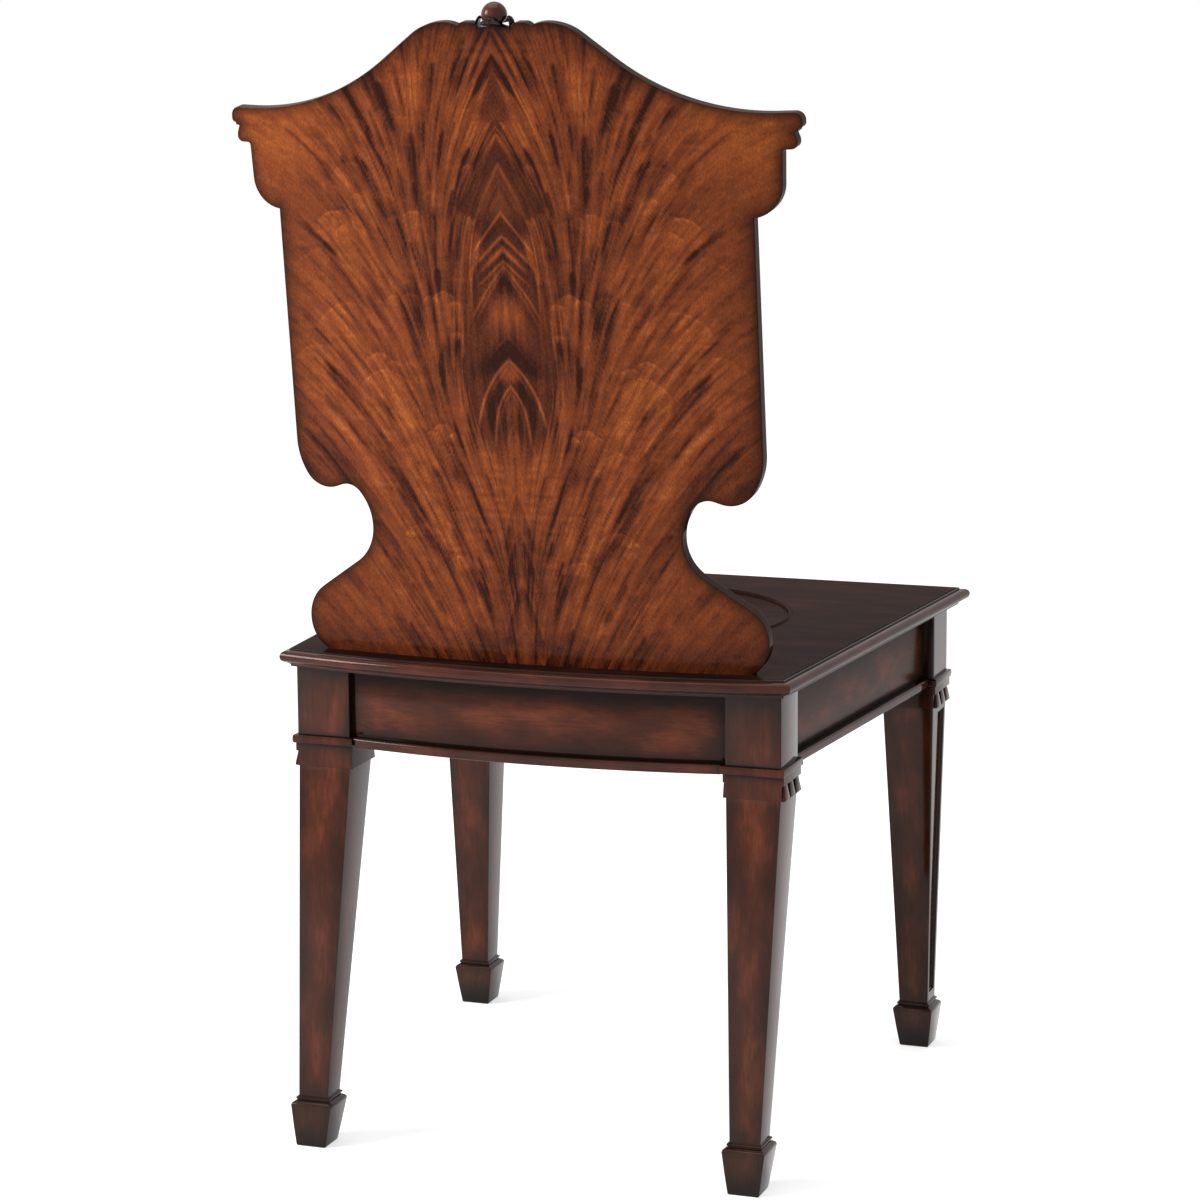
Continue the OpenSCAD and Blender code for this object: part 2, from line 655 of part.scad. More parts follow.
module guttae_rear(side) color(frame_red) at_rear(side) gutta_row();
module guttae_rear_left() guttae_rear(1);
module guttae_rear_right() guttae_rear(-1);

// Spade foot: sole, flared block, and a neck of ogee, groove and astragal
spade_top = spade_h - 7.4;
neck_out = (spade_w - shaft_low_w) / 2;
function spade_half() = [
    [sole_w / 2, 0], [spade_w / 2 - 0.1, spade_top - 1.8], [spade_w / 2, spade_top],
    [spade_w / 2 - 0.1 * neck_out, spade_top + 1.4], [spade_w / 2 - 0.3 * neck_out, spade_top + 2.4],
    [shaft_low_w / 2 + 0.4 * neck_out, spade_top + 3.4], [shaft_low_w / 2 + 1.1, spade_top + 3.9],
    [shaft_low_w / 2 + 1.1, spade_top + 4.5], [shaft_low_w / 2 + 1.8, spade_top + 4.9],
    [shaft_low_w / 2 + 2, spade_top + 5.6], [shaft_low_w / 2 + 1.8, spade_top + 6.3],
    [shaft_low_w / 2 + 0.9, spade_top + 6.8], [shaft_low_w / 2, spade_h]];
function spade_profile(kick) = let(half = spade_half(), n = len(half)) concat(
    [for (p = half) [side_of(kick, p[0], p[1]), p[1]]],
    [for (i = [n - 1:-1:0]) [side_of(kick, -half[i][0], half[i][1]), half[i][1]]]);

module spade(step) difference() {
    intersection() {
        along_y(-200, 200) polygon(spade_profile(step[0]));
        along_x(-200, 200) polygon(spade_profile(step[1]));
    }
    foot_dowel(step, slack);
}

module spade_front(side) color(frame_red) at_front(side) spade(front_step);
module spade_front_left() spade_front(1);
module spade_front_right() spade_front(-1);
module spade_rear(side) color(frame_red) at_rear(side) spade(rear_step);
module spade_rear_left() spade_rear(1);
module spade_rear_right() spade_rear(-1);

// Corner blocks fit round the legs' inner corners, against the rails
brace_low = seat_low - brace_h;
rear_in = [rear_x - block_w / 2, rear_y - block_w / 2];
front_in = [front_x - block_w / 2, front_y + block_w / 2];
function rail_in_x(y) = mix(side_rail_rear[0], side_rail_front[0],
    (side_rail_rear[1] - y) / (side_rail_rear[1] - side_rail_front[1])) - rail_t;
rear_wall = rear_rail_y - rail_t;
front_wall = front_rail_y + rail_t;

module corner_block_rear(side) color(inner_wood) centred() both_sides(side) difference() {
    intersection() {
        translate([0, 0, brace_low]) linear_extrude(brace_h) polygon([
            rear_in, [rear_in[0], rear_wall + 5], [rear_in[0] - brace_leg, rear_wall + 12],
            [rear_in[0] - brace_leg, rear_wall - 2],
            [rail_in_x(rear_in[1] - brace_leg) - 4, rear_in[1] - brace_leg],
            [rail_in_x(rear_in[1] - brace_leg), rear_in[1] - brace_leg],
            [rail_in_x(rear_in[1]), rear_in[1]]]);
        translate([0, rail_cy, 0]) cylinder(h = big, r = rail_r - rail_t, $fn = 360);
    }
    corner_screw_shapes(slack);
    seat_screw_shapes(slack);
}
module corner_block_rear_left() corner_block_rear(1);
module corner_block_rear_right() corner_block_rear(-1);

module corner_block_front(side) color(inner_wood) centred() both_sides(side) difference() {
    translate([0, 0, brace_low]) linear_extrude(brace_h) polygon([
        front_in, [front_in[0], front_wall], [front_in[0] - brace_leg, front_wall],
        [front_in[0] - brace_leg, front_wall + 4],
        [rail_in_x(front_in[1] + brace_leg) - 4, front_in[1] + brace_leg],
        [rail_in_x(front_in[1] + brace_leg), front_in[1] + brace_leg],
        [rail_in_x(front_in[1]), front_in[1]]]);
    corner_screw_shapes(slack);
    seat_screw_shapes(slack);
}
module corner_block_front_left() corner_block_front(1);
module corner_block_front_right() corner_block_front(-1);

// Wood screw along +z: countersunk head at 0, point at l; its hole runs on behind the head
module screw(l, s = 0) rotate_extrude($fn = 32) polygon([
    [0, s > 0 ? -40 : 0], [screw_head_r + s, s > 0 ? -40 : 0], [screw_head_r + s, 0],
    [screw_r + s, screw_head_h], [screw_r + s, l + s], [0, l + s]]);

// Seat screws rise through the corner blocks into the board
seat_screw_in = 17;
function seat_screw_places() = [
    for (side = [-1, 1]) each [
        [side * (rear_in[0] - seat_screw_in), rear_in[1] - 2],
        [side * (front_in[0] - seat_screw_in), front_in[1] + 2]]];
module seat_screw_shapes(s = 0) for (p = seat_screw_places())
    translate([p[0], p[1], brace_low + 4]) screw(brace_h + 5, s);
module seat_screws() color(steel) centred() seat_screw_shapes();

// Corner screws cross the blocks into the rails, one along y and one along x at each corner
corner_screw_z = brace_low + 12;
corner_screw_l = 30;
module corner_screw_shapes(s = 0) for (side = [-1, 1]) both_sides(side) {
    translate([rear_in[0] - 32, rear_wall + 12 - corner_screw_l, corner_screw_z])
        rotate([-90, 0, 0]) screw(corner_screw_l, s);
    translate([front_in[0] - 32, front_wall - 12 + corner_screw_l, corner_screw_z])
        rotate([90, 0, 0]) screw(corner_screw_l, s);
    translate([rail_in_x(rear_in[1] - 32) + 12 - corner_screw_l, rear_in[1] - 32, corner_screw_z + 10])
        rotate([0, 90, 0]) screw(corner_screw_l, s);
    translate([rail_in_x(front_in[1] + 32) + 12 - corner_screw_l, front_in[1] + 32, corner_screw_z + 10])
        rotate([0, 90, 0]) screw(corner_screw_l, s);
}
module corner_screws() color(steel) centred() corner_screw_shapes();

back_core();
back_veneer_left();
back_veneer_right();
front_veneer_left();
front_veneer_right();
edge_moulding_left();
edge_moulding_right();
finial_ball();
finial_leaves();
seat_board();
seat_moulding_front();
seat_moulding_rear();
seat_moulding_left();
seat_moulding_right();
rail_front();
rail_rear();
rail_left();
rail_right();
rail_bead_front();
rail_bead_rear();
rail_bead_left();
rail_bead_right();
leg_front_left();
leg_front_right();
leg_rear_left();
leg_rear_right();
collar_front_left();
collar_front_right();
collar_rear_left();
collar_rear_right();
guttae_front_left();
guttae_front_right();
guttae_rear_left();
guttae_rear_right();
spade_front_left();
spade_front_right();
spade_rear_left();
spade_rear_right();
corner_block_front_left();
corner_block_front_right();
corner_block_rear_left();
corner_block_rear_right();
corner_screws();
seat_screws();
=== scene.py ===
"""Looks of a mahogany hall chair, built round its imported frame.

The front of the chair faces -Y and the sitter's left is +X. Profiles and outlines are
written in millimetres, as a joiner's rod would be, and become metres in mesh code.
"""
import math
from functools import partial

import bmesh
import bpy
import numpy as np
from mathutils import Matrix, Vector, geometry, kdtree


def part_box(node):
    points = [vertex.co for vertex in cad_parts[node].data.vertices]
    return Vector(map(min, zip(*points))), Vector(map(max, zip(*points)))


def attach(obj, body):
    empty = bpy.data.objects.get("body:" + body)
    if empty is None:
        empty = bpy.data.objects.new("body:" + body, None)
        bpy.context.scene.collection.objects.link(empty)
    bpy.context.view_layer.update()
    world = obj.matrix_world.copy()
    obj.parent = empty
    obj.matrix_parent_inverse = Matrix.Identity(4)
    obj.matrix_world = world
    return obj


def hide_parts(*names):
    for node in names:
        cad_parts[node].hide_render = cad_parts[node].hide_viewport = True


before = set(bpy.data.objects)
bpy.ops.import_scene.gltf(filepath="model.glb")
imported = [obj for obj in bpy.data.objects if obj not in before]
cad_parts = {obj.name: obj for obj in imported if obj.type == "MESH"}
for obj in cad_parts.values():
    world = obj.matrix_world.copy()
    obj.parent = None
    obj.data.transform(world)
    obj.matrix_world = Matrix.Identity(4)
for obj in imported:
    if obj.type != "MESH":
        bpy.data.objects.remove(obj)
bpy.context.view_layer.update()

MM = 0.001


def low(node):
    """Lowest corner of a CAD node, in millimetres."""
    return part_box(node)[0] / MM


def high(node):
    """Highest corner of a CAD node, in millimetres."""
    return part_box(node)[1] / MM


# ---------------------------------------------------------------- sizes, in millimetres

# Seat
SEAT_H = high("seat_board").z
SEAT_LOW = low("seat_board").z
SEAT_T = SEAT_H - SEAT_LOW
SEAT_FRONT_Y = low("seat_moulding_front").y
SEAT_FRONT_W = high("seat_moulding_front").x - low("seat_moulding_front").x
SEAT_REAR_W = high("seat_moulding_rear").x - low("seat_moulding_rear").x
SEAT_DEPTH = 475.0
SEAT_BOW = 25.5
REAR_Y = SEAT_FRONT_Y + SEAT_DEPTH
MOULD_W = 9.2
QUIRK = 2.3
NOSE_R, NOSE_TOP = 4.9, -1.8
WELL_R = 144.0
WELL_DEPTH = 5.0
WELL_Y = REAR_Y - 254.0
SEAT_R = ((SEAT_REAR_W / 2) ** 2 + SEAT_BOW ** 2) / (2 * SEAT_BOW)
SEAT_CY = REAR_Y + SEAT_BOW - SEAT_R
SPLAY = math.atan((SEAT_FRONT_W - SEAT_REAR_W) / 2 / SEAT_DEPTH)

# Back
RAKE = math.radians(7.5)
BOW_R = 1237.0
BACK_SET = 3.3
VENEER_T = 1.0
CORE_FRONT = 9.5
BACK_T = 13.0
BORDER_W = 9.0
BALL_R = 10.6
SEAM_X = 2.7
BACK_X, FOOT_X, WAIST_X, EAR_X = 206.75, 206.0, 138.0, 229.5
WAIST_S, EAR_LOW_S, EAR_TOP_S, CREST_S = 112.0, 382.0, 466.0, 541.0
PEAK_S = CREST_S + 1.6
BALL_S = CREST_S + 5.2
FINIAL_DEPTH = (VENEER_T + CORE_FRONT) / 2

# Legs and rails
BLOCK_W = 48.6
SHAFT_TOP_W = 47.6
SHAFT_LOW_W = 27.2
SPADE_W = 37.4
SOLE_W = 27.5
SPADE_H = 44.0
COLLAR_LOW = low("collar_rear_left").z
COLLAR_TOP = high("collar_rear_left").z
BEAD_H, BEAD_OUT = 7.2, 3.8
FASCIA_H, FASCIA_OUT = 7.5, 2.8
BED_OUT = 1.0
GUTTA_COUNT = 3
GUTTA_OUT = 4.2
PANEL_BORDER, PANEL_SINK = 5.0, 3.0
REAR_AT = Vector((SEAT_REAR_W / 2 - 11 - BLOCK_W / 2, REAR_Y - 11 - BLOCK_W / 2))
FRONT_AT = Vector((SEAT_FRONT_W / 2 - 17 - BLOCK_W / 2, SEAT_FRONT_Y + 17 + BLOCK_W / 2))
REAR_KICK = Vector((3.3, 48.0))
FRONT_KICK = Vector((3.3, -9.7))
RAIL_LOW = low("rail_rear").z
RAIL_T = 21.0
RAIL_SET = 9.5
REAR_RAIL_SET = 5.5
RAIL_BOW = 17.0
STRIP_H, STRIP_OUT = 8.4, 5.6
RAIL_END = REAR_AT.x - BLOCK_W / 2
RAIL_R = (RAIL_END ** 2 + RAIL_BOW ** 2) / (2 * RAIL_BOW)
RAIL_CY = REAR_AT.y + BLOCK_W / 2 - REAR_RAIL_SET + RAIL_BOW - RAIL_R
FRONT_RAIL_Y = FRONT_AT.y - BLOCK_W / 2 + RAIL_SET
ARRIS = 0.7


# ---------------------------------------------------------------- outlines and profiles

ARC_STEP = 2.5


def rounded(corners, step=5.0):
    """Closed outline of (x, y, radius) corners as points, with every corner turned as an arc."""
    n = len(corners)
    points = [Vector(c[:2]) for c in corners]
    spans = [(points[(i + 1) % n] - points[i]).length for i in range(n)]
    ways = [(points[(i + 1) % n] - points[i]).normalized() for i in range(n)]
    turns = [math.atan2(ways[i - 1].x * ways[i].y - ways[i - 1].y * ways[i].x,
                        ways[i - 1].dot(ways[i])) for i in range(n)]
    reach = [c[2] * math.tan(abs(t) / 2) for c, t in zip(corners, turns)]
    share = [min(1, spans[i] / max(reach[i] + reach[(i + 1) % n], 1e-3)) for i in range(n)]
    outline = []
    for i in range(n):
        radius = corners[i][2] * min(share[i - 1], share[i])
        if radius < 0.05:
            outline.append(points[i])
            continue
        side = math.copysign(1, turns[i])
        forward = ways[i - 1]
        left = Vector((-forward.y, forward.x))
        start = points[i] - forward * radius * math.tan(abs(turns[i]) / 2)
        centre = start + left * radius * side
        turn = abs(turns[i])
        count = max(2, round(math.degrees(turn) / step), round(turn * radius / ARC_STEP))
        for k in range(count + 1):
            a = turns[i] * k / count - side * math.pi / 2
            outline.append(centre + radius * (forward * math.cos(a) + left * math.sin(a)))
    return outline


def moved_in(outline, distance):
    """The same closed outline moved inwards, point by point along its own normals."""
    n = len(outline)
    moved = []
    for i, p in enumerate(outline):
        a = (p - outline[i - 1]).normalized()
        b = (outline[(i + 1) % n] - p).normalized()
        normal = Vector((-a.y - b.y, a.x + b.x))
        moved.append(p + normal * distance / max(1 + a.dot(b), 0.3))
    return moved


def closely(outline, step):
    """The same closed outline with no two points further apart than step."""
    points = []
    for a, b in zip(outline, outline[1:] + outline[:1]):
        count = max(1, math.ceil((b - a).length / step))
        points += [a.lerp(b, k / count) for k in range(count)]
    return [p for i, p in enumerate(points) if (p - points[i - 1]).length > 1e-3]


def curve(cx, cy, rx, ry, a0, a1, n=8):
    """Points on part of an ellipse from a0 to a1 degrees."""
    return [Vector((cx + rx * math.cos(math.radians(a0 + (a1 - a0) * k / n)),
                    cy + ry * math.sin(math.radians(a0 + (a1 - a0) * k / n))))
            for k in range(n + 1)]


BACK_HALF = [
    (FOOT_X - 23, -8, 0), (FOOT_X, 8.9, 29.6), (FOOT_X, WAIST_S - 68.4, 36),
    (WAIST_X, WAIST_S - 20.1, 40), (WAIST_X, WAIST_S + 17.4, 44),
    (WAIST_X + 17.4, WAIST_S + 38.1, 15), (BACK_X - 17.6, WAIST_S + 26, 23.4),
    (BACK_X, WAIST_S + 56.4, 57), (BACK_X, EAR_LOW_S, 0), (EAR_X, EAR_LOW_S + 3.2, 26.4)]
# The ear's scroll: a round nose below, a pair of tiny beads and a round lobe above
EAR_ROLL = [
    (EAR_X + 1.6, EAR_TOP_S - 29.2, 2.6), (EAR_X + 13.6, EAR_TOP_S - 29, 5),
    (EAR_X + 13.4, EAR_TOP_S - 21.6, 9), (EAR_X + 11, EAR_TOP_S - 15.2, 0.9),
    (EAR_X + 14.3, EAR_TOP_S - 14.8, 0.8), (EAR_X + 14.5, EAR_TOP_S - 12.9, 0.6),
    (EAR_X + 18, EAR_TOP_S - 12.2, 3.6), (EAR_X + 17.6, EAR_TOP_S + 0.4, 7.6)]
CREST_HALF = [
    (BACK_X - 51.5, EAR_TOP_S, 210), (59.6, CREST_S, 47), (37.5, CREST_S, 30),
    (31.6, CREST_S - 2.7, 0), (28.3, CREST_S, 7), (18, CREST_S, 7),
    (13.5, CREST_S - 4.7, 0), (5.5, CREST_S - 3.4, 9)]
FIELD_HALF = BACK_HALF + [
    (EAR_X + 4, EAR_TOP_S, 0), CREST_HALF[0], (59.6, CREST_S, 47), (26, CREST_S, 20),
    (9, CREST_S - 5, 8)]


def both_halves(half, middle=()):
    """Closed outline from its right half, an optional point on the centre line, and its mirror."""
    return rounded(half + list(middle) + [(-x, y, r) for x, y, r in reversed(half)])


BACK_OUTLINE = closely(both_halves(BACK_HALF + EAR_ROLL + CREST_HALF, [(0, PEAK_S, 0)]), 1.5)
FIELD_OUTLINE = closely(moved_in(both_halves(FIELD_HALF), BORDER_W), 2.0)


def seat_profile():
    """Seat moulding, outwards and down: a small step, a round nose, a fillet and a cove."""
    nose_low = NOSE_TOP - 2 * NOSE_R
    cove_u = MOULD_W - 5.6
    cove_top = nose_low - 0.8
    inner = [(0, -SEAT_T), (0, -QUIRK), (0.9, -QUIRK), (1.0, -0.5), (1.2, -0.15), (1.6, -0.15),
             (1.8, NOSE_TOP + 0.1)]
    fillet = [(cove_u + 0.4, nose_low), (cove_u + 0.25, nose_low - 0.1),
              (cove_u + 0.25, cove_top + 0.1), (cove_u, cove_top)]
    return (list(map(Vector, inner))
            + curve(MOULD_W - NOSE_R, NOSE_TOP - NOSE_R, NOSE_R, NOSE_R, 90, -82, 22)
            + list(map(Vector, fillet))
            + curve(cove_u, -SEAT_T, cove_u - 1, SEAT_T + cove_top, 100, 180, 6))


def strip_profile(width):
    """Bead strip under a rail, outwards and up, with its lower edge eased and a round top."""
    return ([Vector((0, 0))] + curve(width - 1.2, 1.2, 1.2, 1.2, -90, 0, 4)
            + curve(width - 2.4, STRIP_H - 2.4, 2.4, 2.4, 0, 90, 8) + [Vector((0, STRIP_H))])


# ---------------------------------------------------------------- colours and node helper

def srgb(text, alpha=1.0):
    """Linear colour of an sRGB hex value."""
    parts = [int(text[i:i + 2], 16) / 255 for i in (1, 3, 5)]
    return [c / 12.92 if c <= 0.04045 else ((c + 0.055) / 1.055) ** 2.4 for c in parts] + [alpha]


def add(tree, kind, inputs=None, out=0, stops=None, **settings):
    """Adds a node with its settings and colour stops, feeds its inputs, and returns an output."""
    node = tree.nodes.new(kind)
    for name, value in settings.items():
        setattr(node, name, value)
    for place, (position, colour) in enumerate(stops or []):
        if place > 1:
            node.color_ramp.elements.new(position)
        node.color_ramp.elements[place].position = position
        node.color_ramp.elements[place].color = srgb(colour)
    for key, value in (inputs or {}).items():
        if isinstance(value, bpy.types.NodeSocket):
            tree.links.new(value, node.inputs[key])
        else:
            node.inputs[key].default_value = value
    return node if out is None or not node.outputs else node.outputs[out]


def new_material(name, **constants):
    """Empty node material, its tree and its Principled shader with constants set on it."""
    material = bpy.data.materials.new(name)
    material.use_nodes = True
    shader = material.node_tree.nodes["Principled BSDF"]
    for socket, value in constants.items():
        shader.inputs[socket.replace("_", " ")].default_value = value
    return material, material.node_tree, shader


# Mahogany, sawn and planed, stained and french polished. Painted shade darkens it in the corners
# between pieces and under overhangs, where ambient occlusion finds them, partly as antiquing, and
# it is darker along each arris. To the eye: a red middle to each face that sinks to near black at
# its edges, faint fine grain, a few dark knocks, and a clear gloss that flares at low angles.
# The polish has a low index, because the studio is dim where it faces the wood squarely.
PORE_MM = 0.7
PORE_CORE, PORE_RIM, PORE_TONE, PORE_RELIEF = 0.30, 0.42, 0.78, 0.35
STREAK_MM = 1.9
CLOUD_MM = 24.0
GRAIN_STRETCH = 0.06
CLOUD_SHARE, STREAK_SHARE = 0.75, 0.25
TONE_LEVELS = (0.3, 0.5, 0.7)
KNOCK_MM = 46.0
KNOCK_RIM, KNOCK_CORE, KNOCK_RARITY = 0.028, 0.014, 0.66
KNOCK_WAX = "#0b0605"
# Painted shade in the corners, partly antiquing: how far the occlusion looks, and its colour
SHADE_REACH_MM = 30.0
ANTIQUING_AND_SHADE = "#120f0b"
CORNER_FROM, ARRIS_FROM = 0.66, 0.9
POLISH_IOR = 1.28


def surface(tree, shader, colour, height, relief_mm=0.1, strength=0.05, coated=False):
    """Gives a shader its colour and a fine relief, under the polish too where it is coated."""
    bump = add(tree, "ShaderNodeBump", {"Strength": strength, "Distance": relief_mm * MM,
                                        "Height": height})
    tree.links.new(colour, shader.inputs["Base Color"])
    for socket in ("Normal", "Coat Normal") if coated else ("Normal",):
        tree.links.new(bump, shader.inputs[socket])


# mahogany() also takes how far painted shade darkens its corners, and how far its arrises darken
def mahogany(name, along, tones=("#36160c", "#4d2414", "#753820"), antiquing_and_shade=0.92, arris_mm=30.0,
             arris_dark=0.75, coat=1.0, rough=0.08):
    """Mahogany whose grain runs along X, Y or Z; tones go from dark through middle to light."""
    material, tree, shader = new_material(name, Roughness=0.5, Specular_IOR_Level=0.0,
                                          Coat_Weight=coat, Coat_Roughness=rough,
                                          Coat_IOR=POLISH_IOR)
    place = add(tree, "ShaderNodeTexCoord", out=3)
    grain, blotch, even = (add(tree, "ShaderNodeMapping", {0: place, "Scale": [
        (least + (1 - least) * (GRAIN_STRETCH if axis == along else 1)) / MM for axis in "XYZ"]})
        for least in (0.0, 0.4, 1.0))
    cloud, streak, fine = (add(tree, "ShaderNodeTexNoise", {
        "Vector": at, "Scale": 1 / size, "Detail": detail, "Roughness": broken,
        "Distortion": warp}) for at, size, detail, broken, warp in (
            (blotch, CLOUD_MM, 3.0, 0.55, 0.0), (grain, STREAK_MM, 4.0, 0.55, 0.4),
            (grain, PORE_MM, 3.0, 0.7, 0.0)))
    figure = add(tree, "ShaderNodeMath", {0: cloud, 1: CLOUD_SHARE}, operation="MULTIPLY")
    figure = add(tree, "ShaderNodeMath", {0: streak, 1: STREAK_SHARE, 2: figure},
                 operation="MULTIPLY_ADD")
    colour = add(tree, "ShaderNodeValToRGB", {0: figure}, stops=list(zip(TONE_LEVELS, tones)))
    pores = add(tree, "ShaderNodeMapRange", {0: fine, 1: PORE_CORE, 2: PORE_RIM,
                                             3: PORE_TONE, 4: 1.0})
    colour = add(tree, "ShaderNodeMix", {"Factor": 1.0, 6: colour, 7: pores}, out=2,
                 data_type="RGBA", blend_type="MULTIPLY")
    # Painted shade, partly antiquing: broad in the corners between pieces and under overhangs,
    # and a darker band along each arris
    open_side = add(tree, "ShaderNodeAmbientOcclusion", {"Distance": SHADE_REACH_MM * MM}, out=1,
                    samples=8)
    corner = add(tree, "ShaderNodeMapRange", {0: open_side, 1: CORNER_FROM, 2: 1.0, 3: antiquing_and_shade,
                                              4: 0.0})
    flat = add(tree, "ShaderNodeNewGeometry", out=1)
    eased = add(tree, "ShaderNodeBevel", {"Radius": arris_mm * MM}, samples=6)
    turned = add(tree, "ShaderNodeVectorMath", {0: flat, 1: eased}, out=1,
                 operation="DOT_PRODUCT")
    arris = add(tree, "ShaderNodeMapRange", {0: turned, 1: ARRIS_FROM, 2: 1.0, 3: arris_dark, 4: 0.0})
    dark = add(tree, "ShaderNodeMath", {0: corner, 1: arris}, operation="MAXIMUM")
    # Small knocks that hold dark wax
    knock = add(tree, "ShaderNodeTexVoronoi", {"Vector": even, "Scale": 1 / KNOCK_MM},
                out=None).outputs
    near = add(tree, "ShaderNodeMapRange", {0: knock["Distance"], 1: KNOCK_RIM, 2: KNOCK_CORE})
    chosen = add(tree, "ShaderNodeMath", {0: knock["Color"], 1: KNOCK_RARITY},
                 operation="GREATER_THAN")
    spot = add(tree, "ShaderNodeMath", {0: near, 1: chosen}, operation="MULTIPLY")
    for factor, over in ((dark, ANTIQUING_AND_SHADE), (spot, KNOCK_WAX)):
        colour = add(tree, "ShaderNodeMix", {"Factor": factor, 6: colour, 7: srgb(over)}, out=2,
                     data_type="RGBA")
    height = add(tree, "ShaderNodeMath", {0: fine, 1: PORE_RELIEF, 2: streak},
                 operation="MULTIPLY_ADD")
    surface(tree, shader, colour, height, coated=True)
    return material


# Flame mahogany veneer: two leaves cut from a crotch and opened like a book, so the figure
# mirrors at the seam. Sanded flush and polished. To the eye: dark tapering streaks that fan out
# of a dark row of pointed hearts, with pores as a fine speckle. Painted shade, with some toning,
# darkens it towards the outline.
FLAME_STOPS = [(0.0, "#2c120a"), (0.2, "#4a2214"), (0.4, "#653019"), (0.6, "#7d3d1e"),
               (0.8, "#984f24"), (1.0, "#ba6f35")]
SPECK_MM, SPECK_SHARE, SPECK_STRETCH = 0.9, 0.6, 0.35
RIPPLE_MM, RIPPLE_SHARE = 7.0, 0.24
MIDDLE_LEVEL = 0.44
# Painted shade with some toning round the outline: its reach, fall, depth and colour
RIM_MM, RIM_FALL, RIM_DEPTH, RIM_TONE_AND_SHADE = 22.0, 2.6, 0.85, "#1c0d08"


def flame_veneer():
    """Veneer whose figure lies on the leaf's own vertices: its tone, and how near its edge is."""
    material, tree, shader = new_material("flame_mahogany_veneer", Roughness=0.5,
                                          Specular_IOR_Level=0.0, Coat_Weight=0.3,
                                          Coat_Roughness=0.12, Coat_IOR=POLISH_IOR)
    tone, edge = (add(tree, "ShaderNodeAttribute", out=2, attribute_name=name)
                  for name in ("tone", "edge"))
    place = add(tree, "ShaderNodeMapping", {0: add(tree, "ShaderNodeTexCoord", out=3),
                                            "Scale": (1 / MM, 1 / MM, SPECK_STRETCH / MM)})
    speck = add(tree, "ShaderNodeTexNoise", {"Vector": place, "Scale": 1 / SPECK_MM,
                                             "Detail": 2.0, "Roughness": 0.6})
    ripple = add(tree, "ShaderNodeTexNoise", {"Vector": place, "Scale": 1 / RIPPLE_MM,
                                              "Detail": 2.0})
    level = tone
    for field, share in ((speck, SPECK_SHARE), (ripple, RIPPLE_SHARE)):
        level = add(tree, "ShaderNodeMath", {0: field, 1: share, 2: level},
                    operation="MULTIPLY_ADD")
    level = add(tree, "ShaderNodeMath", {0: level, 1: MIDDLE_LEVEL}, operation="SUBTRACT")
    colour = add(tree, "ShaderNodeValToRGB", {0: level}, stops=FLAME_STOPS)
    # Painted shade with some toning, darker towards the outline
    antiquing_and_shade = add(tree, "ShaderNodeMapRange", {0: edge, 1: 0.0, 2: RIM_MM, 3: 1.0, 4: 0.0})
    for operation, amount in (("POWER", RIM_FALL), ("MULTIPLY", RIM_DEPTH)):
        antiquing_and_shade = add(tree, "ShaderNodeMath", {0: antiquing_and_shade, 1: amount}, operation=operation)
    colour = add(tree, "ShaderNodeMix", {"Factor": antiquing_and_shade, 6: colour, 7: srgb(RIM_TONE_AND_SHADE)}, out=2,
                 data_type="RGBA")
    surface(tree, shader, colour, speck)
    return material


# Beech glue block, bandsawn and left bare: pale, dry and faintly ribbed by the saw.
FLECK_MM, FLECK_STRETCH, SAW_MM = 2.5, 0.08, 3.0


def sawn_beech():
    """Beech with its flecks along Z and the saw's marks across them."""
    material, tree, shader = new_material("sawn_beech", Roughness=0.75)
    place = add(tree, "ShaderNodeTexCoord", out=3)
    grain = add(tree, "ShaderNodeMapping", {0: place,
                                            "Scale": (1 / MM, 1 / MM, FLECK_STRETCH / MM)})
    fleck = add(tree, "ShaderNodeTexNoise", {"Vector": grain, "Scale": 1 / FLECK_MM,
                                             "Detail": 4.0})
    colour = add(tree, "ShaderNodeValToRGB", {0: fleck},
                 stops=[(0.35, "#7d5f3c"), (0.65, "#a98757")])
    saw = add(tree, "ShaderNodeTexWave", {"Vector": place, "Scale": 1 / (SAW_MM * MM)},
              bands_direction="Z")
    surface(tree, shader, colour, saw, relief_mm=0.2, strength=0.2)
    return material


# Bright steel wood screw, turned, slotted and oiled: grey with fine rings left by the lathe.
STAINS_PER_M = 900.0
RING_MM = 0.5


def turned_steel():
    """Steel with slight oil stains."""
    material, tree, shader = new_material("turned_steel", Metallic=1.0, Roughness=0.36)
    place = add(tree, "ShaderNodeTexCoord", out=3)
    stain = add(tree, "ShaderNodeTexNoise", {"Vector": place, "Scale": STAINS_PER_M,
                                             "Detail": 3.0})
    colour = add(tree, "ShaderNodeValToRGB", {0: stain},
                 stops=[(0.35, "#6f6d69"), (0.7, "#9b9a96")])
    ring = add(tree, "ShaderNodeTexWave", {"Vector": place, "Scale": 1 / (RING_MM * MM)},
               wave_type="RINGS", rings_direction="Z")
    surface(tree, shader, colour, ring, relief_mm=0.05, strength=0.1)
    return material


